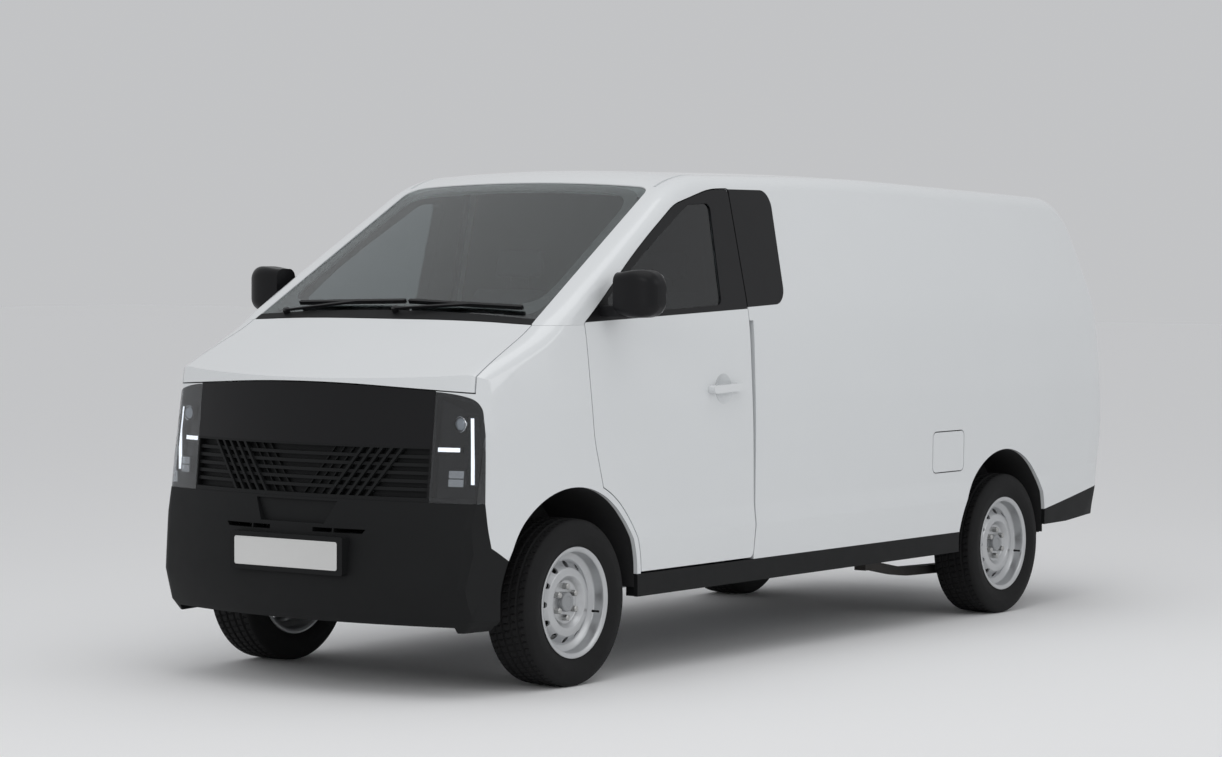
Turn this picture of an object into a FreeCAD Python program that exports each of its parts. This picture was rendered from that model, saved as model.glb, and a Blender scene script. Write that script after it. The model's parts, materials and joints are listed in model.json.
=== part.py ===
"""Panel van, built the way the real one goes together: a hollow body whose panels are cut from one
outer form, hung doors, bonnet and tailgate, a floor on underframe rails, sprung axles and four wheels.

Frame: +X is the van's left side, the nose points to -Y, +Z is up. The origin is on the ground under the
middle of the bounding box. Millimetres.
"""
import FreeCAD, Part
import functools
import math
import os

import Sketcher
from FreeCAD import Placement, Rotation, Vector

PARTS_FOLDER = "parts"

# Driving dimensions. Each goes into a cell of the sheet under its own alias.
SIZES = {
    # running gear
    "wheelbase": 3442, "front_axle_y": -1860, "axle_height": 330, "half_track": 716,
    # flank of the body: half widths at heights
    "sill_half": 830, "sill_z": 410, "crease_half": 846, "crease_z": 560, "flank_half": 838,
    "flank_z": 650, "waist_half": 841, "waist_z": 1000, "belt_half": 826, "belt_z": 1430,
    "sky_half": 688, "sky_z": 2150, "foot_z": 200, "reach_in": 1200,
    "sill_round": 300, "crease_round": 60, "flank_round": 400, "waist_round": 6000, "belt_round": 1400,
    "straight_front_y": -1500, "straight_rear_y": 1600, "front_taper_radius": 7500,
    "rear_taper_radius": 12000, "form_end_y": 2900,
    # centre line of the body
    "nose_y": -2544, "nose_z": 1212, "bow_y": -3000, "bow_z": 1018,
    "cowl_y": -2087, "cowl_z": 1406, "cowl_round": 800, "header_y": -1010, "header_z": 2047,
    "header_round": 700, "crest_y": 300, "crest_z": 2058, "crest_round": 20000,
    "rear_bend_y": 2347, "rear_bend_z": 1990, "rear_bend_round": 350,
    "rear_brow_y": 2631, "rear_brow_z": 1415, "rear_brow_round": 1900,
    "rear_bulge_y": 2663, "rear_bulge_z": 820, "rear_bulge_round": 400,
    "rear_foot_y": 2560, "rear_foot_z": 420, "rear_foot_round": 200,
    "crown_radius": 9000, "shoulder_round": 75, "least_shoulder": 25, "shoulder_half": 728,
    "tuck_out": 7, "tuck_down": 26, "flare_out": 25, "flare_down": 60, "skirt_out": 90,
    "skirt_down": 85, "brim_out": 250, "brim_down": 90, "brim_half": 1300,
    # plan of the nose
    "face_radius": 2300, "face_corner_round": 85, "face_corner_half": 785, "face_y": -2588,
    "face_z": 759, "face_low_z": 150, "face_high_z": 2200, "face_back_y": 4500, "face_side_run": 3000,
    # walls and gaps
    "side_wall": 64, "roof_wall": 42, "glass_inset": 4, "glass_thick": 5, "shut_gap": 5, "clearance": 0.3,
}

# Slopes and shares, which have no unit.
FACE_LEAN = 0.099
FACE_FLARE = 0.16
FACE_TUMBLE = 0.077
SHOULDER_TURN = 75.0
CROWN_SHARES = (0.0, 0.25, 0.5, 0.75, 0.92)
SHOULDER_STEPS = 5
PATH_POINTS = 90
TAPER_SHARES = (-1.0, -0.9, -0.76, -0.62, -0.5, -0.34, -0.17, 0.0, 0.17, 0.34, 0.55, 0.66, 0.76, 0.86, 1.0)


class Sheet:
    """The spreadsheet of driving dimensions, read by alias as attributes."""

    def __init__(self, doc, sizes):
        self.obj = doc.addObject("Spreadsheet::Sheet", "Sizes")
        for row, (alias, value) in enumerate(sizes.items(), start=1):
            self.obj.set(f"A{row}", alias)
            self.obj.set(f"B{row}", str(value))
            self.obj.setAlias(f"B{row}", alias)
        doc.recompute()
        self.kept = {alias: float(self.obj.get(alias)) for alias in sizes}

    def __getattr__(self, alias):
        return self.kept[alias]


# Plane geometry


def in_plane(plane, u, v, w=0.0):
    """A point at (u, v) of a main plane, w along its normal axis."""
    return {"YZ": Vector(w, u, v), "XZ": Vector(u, w, v), "XY": Vector(u, v, w)}[plane]


def rounded_wire(plane, corners, w=0.0):
    """A closed wire through corners (u, v) or (u, v, radius): straight sides with tangent arcs."""
    count = len(corners)
    points = [Vector(c[0], c[1], 0) for c in corners]
    starts, middles, ends = [], [], []
    for i, corner in enumerate(corners):
        here = points[i]
        radius = corner[2] if len(corner) > 2 else 0
        if radius <= 0:
            starts.append(here)
            ends.append(here)
            middles.append(None)
            continue
        back = points[i - 1] - here
        ahead = points[(i + 1) % count] - here
        toward_back = Vector(back).normalize()
        toward_ahead = Vector(ahead).normalize()
        half = toward_back.getAngle(toward_ahead) / 2
        run = min(radius / math.tan(half), back.Length * 0.499, ahead.Length * 0.499)
        radius = run * math.tan(half)
        bisector = (toward_back + toward_ahead).normalize()
        starts.append(here + toward_back * run)
        ends.append(here + toward_ahead * run)
        middles.append(here + bisector * (radius / math.sin(half) - radius))

    def lift(p):
        return in_plane(plane, p.x, p.y, w)

    edges = []
    for i in range(count):
        if middles[i] is not None:
            edges.append(Part.Arc(lift(starts[i]), lift(middles[i]), lift(ends[i])).toShape())
        following = starts[(i + 1) % count]
        if ends[i].distanceToPoint(following) > 1e-6:
            edges.append(Part.makeLine(lift(ends[i]), lift(following)))
    return Part.Wire(edges)


def inset_corners(corners, depth):
    """Corners of a closed outline moved inwards by depth, their radii changed to suit."""
    count = len(corners)
    area = 0.0
    for i in range(count):
        here, ahead = corners[i], corners[(i + 1) % count]
        area += here[0] * ahead[1] - ahead[0] * here[1]
    turn = 1 if area > 0 else -1
    moved = []
    for i in range(count):
        back, here, ahead = corners[i - 1], corners[i], corners[(i + 1) % count]
        into = Vector(here[0] - back[0], here[1] - back[1], 0).normalize()
        out = Vector(ahead[0] - here[0], ahead[1] - here[1], 0).normalize()
        push = (Vector(-into.y, into.x, 0) + Vector(-out.y, out.x, 0)) * turn
        push = push * (2 * depth / push.Length ** 2)
        bend = (into.x * out.y - into.y * out.x) * turn
        radius = here[2] if len(here) > 2 else 0
        if radius:
            radius = max(radius - math.copysign(depth, bend), 0)
        moved.append((here[0] + push.x, here[1] + push.y, radius))
    return moved


def prism(plane, corners, low, high):
    """A rounded outline of a main plane, pushed from low to high along its normal axis."""
    face = Part.Face(rounded_wire(plane, corners, low))
    return face.extrude(in_plane(plane, 0, 0, high - low))


def box(x0, x1, y0, y1, z0, z1):
    """A box between two corners."""
    return Part.makeBox(x1 - x0, y1 - y0, z1 - z0, Vector(x0, y0, z0))


def tube_x(radius, x0, x1, y, z):
    """A cylinder along X."""
    return Part.makeCylinder(radius, x1 - x0, Vector(x0, y, z), Vector(1, 0, 0))


def mirrored(shape):
    """The same shape on the other side of the van."""
    return shape.mirror(Vector(0, 0, 0), Vector(1, 0, 0))


def plain(shape, least=1.0):
    """The solids of a boolean's result, as one solid or one compound."""
    solids = [s for s in shape.Solids if s.Volume > least]
    return solids[0] if len(solids) == 1 else Part.makeCompound(solids)


def both_sides(shape):
    """A compound of a left shape and its mirror image."""
    return Part.makeCompound(shape.Solids + mirrored(shape).Solids)


def spline(points):
    """A smooth curve through points."""
    curve = Part.BSplineCurve()
    curve.interpolate(points)
    return curve


def spline_surface(across, along, grid):
    """A smooth surface over a grid of poles, with the knots of two curves."""
    surface = Part.BSplineSurface()
    surface.buildFromPolesMultsKnots(
        grid, across.getMultiplicities(), along.getMultiplicities(), across.getKnots(), along.getKnots(),
        False, False, across.Degree, along.Degree,
    )
    return surface


def solid_of(faces):
    """A solid closed by faces that share their edges."""
    shell = Part.makeShell(faces)
    shell.sewShape()
    solid = Part.Solid(shell)
    if solid.Volume < 0:
        solid.reverse()
    return solid


# The outer form of the body


def flank_corners(s):
    """Upright section of the left flank, as (x, z, radius)."""
    return [
        (-s.reach_in, s.foot_z), (s.sill_half, s.foot_z), (s.sill_half, s.sill_z, s.sill_round),
        (s.crease_half, s.crease_z, s.crease_round), (s.flank_half, s.flank_z, s.flank_round),
        (s.waist_half, s.waist_z, s.waist_round), (s.belt_half, s.belt_z, s.belt_round),
        (s.sky_half, s.sky_z), (-s.reach_in, s.sky_z),
    ]


def taper(s, y):
    """How far the flanks draw in at y."""
    if y < s.straight_front_y:
        return (y - s.straight_front_y) ** 2 / 2 / s.front_taper_radius
    if y > s.straight_rear_y:
        return (y - s.straight_rear_y) ** 2 / 2 / s.rear_taper_radius
    return 0.0


def half_width(s, y, z):
    """Half width of the body at y and z."""
    table = [(c[1], c[0]) for c in flank_corners(s)[1:8]]
    for (low_z, low_half), (high_z, high_half) in zip(table, table[1:]):
        if z <= high_z or high_z == table[-1][0]:
            share = (z - low_z) / (high_z - low_z)
            return low_half + (high_half - low_half) * share - taper(s, y)
    return low_half


@functools.lru_cache(maxsize=None)
def flank_form(s, inset):
    """Everything right of the left flank's outer surface, the surface moved in by inset."""
    corners = []
    for x, z, *radius in flank_corners(s):
        corners.append((x - inset if x > 0 else x, z, *radius))
    ys = [s.form_end_y * share for share in TAPER_SHARES]
    path = spline([Vector(-taper(s, y), y, 0) for y in ys])
    section = rounded_wire("XZ", corners, ys[0])
    first = path.getPole(1)
    section.translate(Vector(first.x, 0, 0))
    faces = []
    for edge in section.Edges:
        curve = edge.Curve.toBSpline(edge.FirstParameter, edge.LastParameter)
        grid, weights = [], []
        for i in range(1, curve.NbPoles + 1):
            shifts = [path.getPole(j) - first for j in range(1, path.NbPoles + 1)]
            grid.append([curve.getPole(i) + shift for shift in shifts])
            weights.append([curve.getWeight(i)] * path.NbPoles)
        surface = Part.BSplineSurface()
        surface.buildFromPolesMultsKnots(
            grid, curve.getMultiplicities(), path.getMultiplicities(), curve.getKnots(), path.getKnots(),
            False, False, curve.Degree, path.Degree, weights,
        )
        faces.append(surface.toShape())
    cap = Part.Face(section)
    far_cap = cap.copy()
    far_cap.translate(path.getPole(path.NbPoles) - first)
    return solid_of(faces + [cap, far_cap])


def crown_section(s, inset):
    """Across the top from the middle outwards, as (x, height): crown, shoulder, then a brim past the flanks."""
    radius = max(s.shoulder_round - inset, s.least_shoulder)
    edge = s.shoulder_half - 0.9 * radius
    points = [(edge * share, -(edge * share) ** 2 / 2 / s.crown_radius) for share in CROWN_SHARES]
    start = edge / s.crown_radius
    end = math.radians(SHOULDER_TURN)
    fall = -edge ** 2 / 2 / s.crown_radius
    for step in range(SHOULDER_STEPS + 1):
        turn = start + (end - start) * step / SHOULDER_STEPS
        x = edge + radius * (math.sin(turn) - math.sin(start))
        points.append((x, fall - radius * (math.cos(start) - math.cos(turn))))
    rim_x, rim_z = points[-1]
    points.append((rim_x + s.tuck_out, rim_z - s.tuck_down))
    points.append((rim_x + s.flare_out, rim_z - s.flare_down))
    points.append((rim_x + s.skirt_out, rim_z - s.skirt_down))
    points.append((rim_x + s.brim_out, rim_z - s.brim_down))
    points.append((s.brim_half, rim_z - s.brim_down))
    return points, (rim_x, rim_z)


@functools.lru_cache(maxsize=None)
def top_form(s, inset, side_inset):
    """Everything under the bonnet, windscreen, roof and rear face, with the shoulders rounded over."""
    outline = [
        (s.bow_y, s.bow_z), (s.cowl_y, s.cowl_z, s.cowl_round),
        (s.header_y, s.header_z, s.header_round), (s.crest_y, s.crest_z, s.crest_round),
        (s.rear_bend_y, s.rear_bend_z, s.rear_bend_round),
        (s.rear_brow_y, s.rear_brow_z, s.rear_brow_round),
        (s.rear_bulge_y, s.rear_bulge_z, s.rear_bulge_round),
        (s.rear_foot_y, s.rear_foot_z, s.rear_foot_round), (s.rear_foot_y, s.foot_z),
        (s.bow_y, s.foot_z),
    ]
    edges = rounded_wire("YZ", inset_corners(outline, inset)).Edges[:-2]
    path = spline(Part.Wire(edges).discretize(Number=PATH_POINTS))
    half, (rim_x, rim_z) = crown_section(s, inset)
    across = [Vector(-x, 0, z) for x, z in reversed(half[1:])] + [Vector(x, 0, z) for x, z in half]
    section = spline(across)
    knots = path.KnotSequence
    bases, normals, widths = [], [], []
    for j in range(path.NbPoles):
        at = sum(knots[j + 1:j + 1 + path.Degree]) / path.Degree
        tangent = path.tangent(min(max(at, path.FirstParameter), path.LastParameter))[0]
        base = path.getPole(j + 1)
        normal = Vector(0, -tangent.z, tangent.y)
        rim = base + normal * rim_z
        bases.append(base)
        normals.append(normal)
        widths.append((half_width(s, rim.y, rim.z) - side_inset) / s.shoulder_half)
    normals[-1] = Vector(0, 1, 0)
    grid = []
    for i in range(1, section.NbPoles + 1):
        pole = section.getPole(i)
        far = abs(pole.x) - rim_x - s.tuck_out
        share = min(max(far / (s.brim_half - rim_x - s.tuck_out), 0.0), 1.0)
        row = []
        for base, normal, width in zip(bases, normals, widths):
            stretch = width + (1 - width) * share
            row.append(base + Vector(pole.x * stretch, 0, 0) + normal * pole.z)
        grid.append(row)
    surface = spline_surface(section, path, grid)
    u0, u1, v0, v1 = surface.bounds()
    rear_right, rear_left = surface.value(u0, v1), surface.value(u1, v1)
    bow_right, bow_left = surface.value(u0, v0), surface.value(u1, v0)

    def foot(point):
        return point - normals[0] * ((point.z - rear_left.z) / normals[0].z)

    foot_right, foot_left = foot(bow_right), foot(bow_left)

    def face(edges):
        return Part.Face(Part.Wire(Part.__sortEdges__(edges)))

    line = Part.makeLine
    faces = [
        surface.toShape(),
        face([surface.uIso(u0).toShape(), line(bow_right, foot_right), line(foot_right, rear_right)]),
        face([surface.uIso(u1).toShape(), line(bow_left, foot_left), line(foot_left, rear_left)]),
        face([surface.vIso(v0).toShape(), line(bow_right, foot_right), line(foot_right, foot_left),
              line(foot_left, bow_left)]),
        face([surface.vIso(v1).toShape(), line(rear_right, foot_right), line(foot_right, foot_left),
              line(foot_left, rear_left)]),
    ]
    return solid_of(faces)


def nose_wire(s, inset, z, corner_half=None):
    """Plan outline of the nose at z: a shallow bow, two rounded corners and flared sides."""
    y = s.face_y + (z - s.face_z) * FACE_LEAN + inset
    corner = s.face_corner_half - (z - s.face_z) * FACE_TUMBLE - inset
    if corner_half is not None:
        corner = corner_half
    radius = s.face_radius
    round_radius = s.face_corner_round - inset
    # The corner's arc touches the bow inside and the side line outside.
    side = Vector(FACE_FLARE, 1, 0).normalize()
    side_in = Vector(-side.y, side.x, 0)
    hub = Vector(0, y + radius, 0)
    lean = math.hypot(FACE_FLARE, 1)
    # Its hub lies on a line along the side, a round's radius in, and as far from the bow's hub as
    # the two radii differ by.
    anchor = Vector(corner, y, 0) + side_in * round_radius
    reach = radius - round_radius
    rel = anchor - hub
    b = rel.dot(side)
    c = rel.dot(rel) - reach ** 2
    corner_hub = anchor + side * (-b - math.sqrt(b * b - c))
    out = (corner_hub - hub).normalize()
    touch_bow = hub + out * radius
    touch_side = corner_hub - side_in * round_radius
    between = (out - side_in).normalize()
    mid = corner_hub + between * round_radius
    far = touch_side + side * (s.face_side_run * lean)
    back = Vector(far.x, s.face_back_y, 0)

    def at(p, sign=1):
        return Vector(p.x * sign, p.y, z)

    line = Part.makeLine
    return Part.Wire([
        Part.Arc(at(touch_bow, -1), Vector(0, y, z), at(touch_bow)).toShape(),
        Part.Arc(at(touch_bow), at(mid), at(touch_side)).toShape(),
        line(at(touch_side), at(far)), line(at(far), at(back)), line(at(back), at(back, -1)),
        line(at(back, -1), at(far, -1)), line(at(far, -1), at(touch_side, -1)),
        Part.Arc(at(touch_side, -1), at(mid, -1), at(touch_bow, -1)).toShape(),
    ])


@functools.lru_cache(maxsize=None)
def nose_form(s, inset):
    """Everything behind the nose's face."""
    wires = [nose_wire(s, inset, s.face_low_z), nose_wire(s, inset, s.face_high_z)]
    return Part.makeLoft(wires, True, True)


@functools.lru_cache(maxsize=None)
def body_form(s, side_inset, top_inset):
    """The whole outer form of the body, moved in at the flanks and over the top."""
    flank = flank_form(s, side_inset)
    return flank.common(top_form(s, top_inset, side_inset)).common(mirrored(flank)).common(
        nose_form(s, top_inset))


# Outlines of the panels as shares of a frame: how far along its span, how far up its height, and the
# corner's round as a share of the height. Side views run from front to rear, end views from right to left.

DOOR_SHARES = [
    (0.091, 0.0), (0.091, 0.223), (0.039, 0.351, 0.323), (0.0, 0.647), (0.344, 0.834, 2.587),
    (0.612, 0.954, 0.194), (0.841, 0.997, 0.388), (0.962, 1.0, 0.016), (1.0, 0.0, 0.016),
]
WINDOW_SHARES = [
    (0.142, 0.668, 0.010), (0.142, 0.710, 0.010), (0.403, 0.832, 1.294), (0.637, 0.931, 0.097),
    (0.700, 0.956, 0.039), (0.836, 0.961, 0.019), (0.815, 0.688, 0.019),
]
PILLAR_PANEL_SHARES = [(0.968, 0.680), (1.224, 0.688, 0.049), (1.231, 1.0, 0.049), (0.957, 1.0)]
ABOVE_BELT_SHARES = [(-0.018, 0.650), (1.014, 0.677), (1.014, 1.3), (-0.018, 1.3)]
HANDLE_SHARES = [(0.704, 0.453, 0.010), (0.897, 0.457, 0.010), (0.897, 0.478, 0.010), (0.704, 0.474, 0.010)]
HANDLE_FRONT_SHARES = [(0.704, 0.453, 0.010), (0.735, 0.453), (0.735, 0.475), (0.704, 0.474, 0.010)]
HANDLE_REAR_SHARES = [(0.862, 0.456), (0.897, 0.457, 0.010), (0.897, 0.478, 0.010), (0.862, 0.477)]
SLIDING_SHARES = [(0.0, 0.0, 0.026), (1.0, 0.0, 0.026), (1.0, 1.0, 0.039), (0.0, 1.0, 0.039)]
FLAP_SHARES = [(0.0, 0.0, 0.156), (1.0, 0.0, 0.156), (1.0, 1.0, 0.156), (0.0, 1.0, 0.156)]
REAR_BUMPER_SHARES = [(0.0, 0.0), (0.412, 0.011, 0.538), (1.0, 0.183), (1.0, 1.0), (0.733, 0.823),
                      (0.094, 0.392)]
TAILGATE_SHARES = [(0.0, 0.0, 0.029), (0.0, 0.717, 0.645), (0.043, 1.0), (0.957, 1.0),
                   (1.0, 0.717, 0.645), (1.0, 0.0, 0.029)]
REAR_GLASS_SHARES = [(0.083, 0.452, 0.043), (0.123, 0.853, 0.050), (0.877, 0.853, 0.050),
                     (0.917, 0.452, 0.043)]
TAIL_LAMP_SHARES = [(1.009, 0.215, 0.009), (1.062, 0.215, 0.009), (1.058, 0.538, 0.009),
                    (1.009, 0.538, 0.009)]

PANELS = {
    # frames of the outlines: where each starts, how long it is, where its foot is and how high it is
    "door_from": -1809, "door_span": 1192, "door_low": 422, "door_tall": 1546,
    "sliding_from": -555, "sliding_span": 1195, "sliding_low": 421, "sliding_tall": 1545,
    "flap_from": 863, "flap_span": 288, "flap_low": 696, "flap_tall": 192,
    "rear_bumper_from": 1850, "rear_bumper_span": 850, "rear_bumper_low": 396, "rear_bumper_tall": 186,
    "tailgate_from": -690, "tailgate_span": 1380, "tailgate_low": 600, "tailgate_tall": 1395,
    # the arches
    "front_arch_y": -1885, "front_arch_z": 360, "front_arch_radius": 425,
    "rear_arch_y": 1545, "rear_arch_z": 360, "rear_arch_radius": 420,
    "lip_wide": 24, "lip_deep": 18, "arch_in": 450,
    # where the zones of the panels end
    "side_near": 300, "side_far": 1100, "far_front_y": -2800, "far_rear_y": 2800, "low_z": 150,
    "high_z": 2300, "split_z": 1417.5, "seam": 0.6, "quarter_front_y": -612, "quarter_low_z": 414,
    "fender_low_z": 420, "cab_front_y": -2045, "roof_half": 640, "roof_rear_y": 2292,
    "tailgate_front_y": 2297, "lamp_front_y": 2450,
    # bonnet, cowl and windscreen, in plan
    "bonnet_half": 713, "bonnet_rear_y": -2022, "bonnet_bow": 24, "bonnet_bow_round": 6000,
    "bonnet_kink_half": 745, "bonnet_kink_y": -2443, "bonnet_kink_round": 300, "bonnet_front_half": 752,
    "bonnet_front_y": -2700, "cowl_half": 716, "screen_half": 708, "screen_low_y": -1985,
    "screen_top_half": 626, "screen_top_y": -1085, "screen_round": 70,
    # the bonnet's leading edge, seen from ahead
    "lead_half": 820, "lead_edge_z": 1165, "lead_mid_z": 1210, "lead_round": 7000,
    # sinks and thicknesses
    "panel_sink": 1, "panel_thick": 6, "frame_sink": 2, "flap_thick": 8, "pocket_x": 795,
    "buffer_radius": 6, "door_glass_sink": 8, "ditch_half": 7, "ditch_deep": 6,
    "handle_out": 34, "handle_thick": 15, "handle_root": 4, "cup_radius": 110, "cup_deep": 20,
    "track_half": 15, "track_deep": 12, "track_z": 1010, "track_rear_y": 1960,
    "sill_front_y": -1560, "sill_rear_y": 1200, "sill_low": 322,
}


def framed(s, frame, shares):
    """The corners of an outline whose shares belong to a frame of the sheet."""
    start, span = getattr(s, f"{frame}_from"), getattr(s, f"{frame}_span")
    low, tall = getattr(s, f"{frame}_low"), getattr(s, f"{frame}_tall")
    return [(start + along * span, low + up * tall, *(part * tall for part in rest))
            for along, up, *rest in shares]


def side_prism(s, corners):
    """A side outline pushed across the left flank."""
    return prism("YZ", corners, s.side_near, s.side_far)


def side_box(s, y0, y1, z0, z1):
    """A rectangle seen from the side, pushed across the left flank."""
    return box(s.side_near, s.side_far, y0, y1, z0, z1)


def grown(corners, gap):
    """The outline with its sides moved outwards by a gap."""
    return inset_corners(corners, -gap)


def skin(s, outer, inner):
    """The layer of the left flank between two depths under its surface."""
    return flank_form(s, outer).cut(flank_form(s, inner))


def arch_size(s, end):
    """Place and radius of one end's wheel arch."""
    return getattr(s, f"{end}_arch_y"), getattr(s, f"{end}_arch_z"), getattr(s, f"{end}_arch_radius")


def arch_cut(s, end, grow=0.0):
    """The wheel arch as a solid through the left flank: round above, open below."""
    y, z, radius = arch_size(s, end)
    radius += grow
    cylinder = tube_x(radius, s.arch_in, s.side_far, y, z)
    return cylinder.fuse(box(s.arch_in, s.side_far, y - radius, y + radius, 0, z))


class Van:
    """The document, its sheet and the pieces built so far."""

    def __init__(self, doc, sheet):
        self.doc = doc
        self.s = sheet
        self.pieces = {}

    def add(self, label, shape):
        """A piece whose shape is set here."""
        piece = self.doc.addObject("Part::Feature", label)
        piece.Shape = shape
        piece.Placement = Placement()
        return self.keep(label, piece)

    def add_pair(self, label, shape):
        """A left piece and its mirror image on the right, as two nodes."""
        self.add(f"{label}_left", shape)
        self.add(f"{label}_right", mirrored(shape))

    def keep(self, label, piece):
        """Registers a piece under its label."""
        piece.Label = label
        self.pieces[label] = piece
        return piece

    def shape(self, label):
        """The shape of a piece built earlier."""
        return self.pieces[label].Shape

    def bound_box(self, name, length, width, height, x, y, z):
        """A box whose six sizes are cells of the sheet, each given by alias with an optional minus."""
        piece = self.doc.addObject("Part::Box", name)
        cells = {"Length": length, "Width": width, "Height": height, "Placement.Base.x": x,
                 "Placement.Base.y": y, "Placement.Base.z": z}
        for prop, cell in cells.items():
            piece.setExpression(prop, cell_of(cell))
        return piece


def cell_of(alias):
    """The expression that reads an alias, or its negative."""
    return f"-Sizes.{alias[1:]}" if alias.startswith("-") else f"Sizes.{alias}"


def number_of(s, alias):
    """The number behind an alias, or its negative."""
    return -getattr(s, alias[1:]) if alias.startswith("-") else getattr(s, alias)


def bonnet_plan(s):
    """The bonnet's outline from above, bowed along its rear edge."""
    rear = [(-s.bonnet_half, s.bonnet_rear_y), (0, s.bonnet_rear_y - s.bonnet_bow, s.bonnet_bow_round),
            (s.bonnet_half, s.bonnet_rear_y)]
    front = [(s.bonnet_kink_half, s.bonnet_kink_y, s.bonnet_kink_round),
             (s.bonnet_front_half, s.bonnet_front_y)]
    return rear + front + [(-x, y, *rest) for x, y, *rest in reversed(front)]


def lead_outline(s):
    """What lies above the bonnet's leading edge, seen from ahead."""
    return [(-s.lead_half, s.lead_edge_z), (0, s.lead_mid_z, s.lead_round), (s.lead_half, s.lead_edge_z),
            (s.lead_half, s.high_z), (-s.lead_half, s.high_z)]


def screen_plan(s):
    """The windscreen's outline from above."""
    return [(-s.screen_half, s.screen_low_y), (-s.screen_top_half, s.screen_top_y, s.screen_round),
            (s.screen_top_half, s.screen_top_y, s.screen_round), (s.screen_half, s.screen_low_y)]


def cowl_plan(s):
    """The cowl's outline from above, reaching under the bonnet's rear edge."""
    front_y = s.bonnet_rear_y - s.bonnet_bow - s.shut_gap
    return [(-s.cowl_half, front_y), (s.cowl_half, front_y), (s.screen_half, s.screen_low_y),
            (-s.screen_half, s.screen_low_y)]


class Zones:
    """The forms, walls and cuts that several panels share."""

    def __init__(self, s):
        far_back = s.face_rear_y + s.side_far
        self.inner = body_form(s, s.side_wall, s.roof_wall)
        self.wall = body_form(s, 0, 0).cut(self.inner)
        self.left_half = box(0, s.side_far, s.far_front_y, s.far_rear_y, s.low_z, s.high_z)
        self.wall_left = self.wall.common(self.left_half)
        self.over_cut = prism("XZ", grown(lead_outline(s), s.shut_gap), s.far_front_y, far_back)
        over = prism("XZ", lead_outline(s), s.far_front_y, far_back)
        self.bonnet = prism("XY", bonnet_plan(s), s.panel_low_z, s.high_z).common(over)
        bonnet_grown = prism("XY", grown(bonnet_plan(s), s.shut_gap), s.panel_low_z, s.high_z)
        self.bonnet_cut = bonnet_grown.common(self.over_cut)
        self.screen = prism("XY", screen_plan(s), s.nose_z, s.high_z)
        self.cowl = prism("XY", cowl_plan(s), s.nose_z, s.high_z)
        self.roof = box(-s.roof_half, s.roof_half, s.screen_top_y, s.roof_rear_y, s.rear_brow_z, s.high_z)
        self.front_arch = arch_cut(s, "front")
        self.rear_arch = arch_cut(s, "rear")
        self.door = side_prism(s, framed(s, "door", DOOR_SHARES))
        self.door_cut = side_prism(s, grown(framed(s, "door", DOOR_SHARES), s.shut_gap))
        under_lip = flank_form(s, s.lip_deep)
        self.front_well = arch_cut(s, "front", s.liner + s.clearance).common(under_lip)
        self.rear_well = arch_cut(s, "rear", s.liner + s.clearance).common(under_lip)
        self.lamp, self.lamp_cut = lamp_zone(s, 0.0), lamp_zone(s, s.seam)
        self.bumper_cut = prism("YZ", grown(front_bumper_side(s), s.clearance), -s.side_far, s.side_far)
        edge = s.roof_half
        ditch = box(edge - s.ditch_half, edge + s.ditch_half, s.screen_top_y, s.roof_rear_y,
                    s.rear_brow_z, s.high_z).cut(top_form(s, s.ditch_deep, 0))
        self.ditches = [ditch, mirrored(ditch)]


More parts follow.
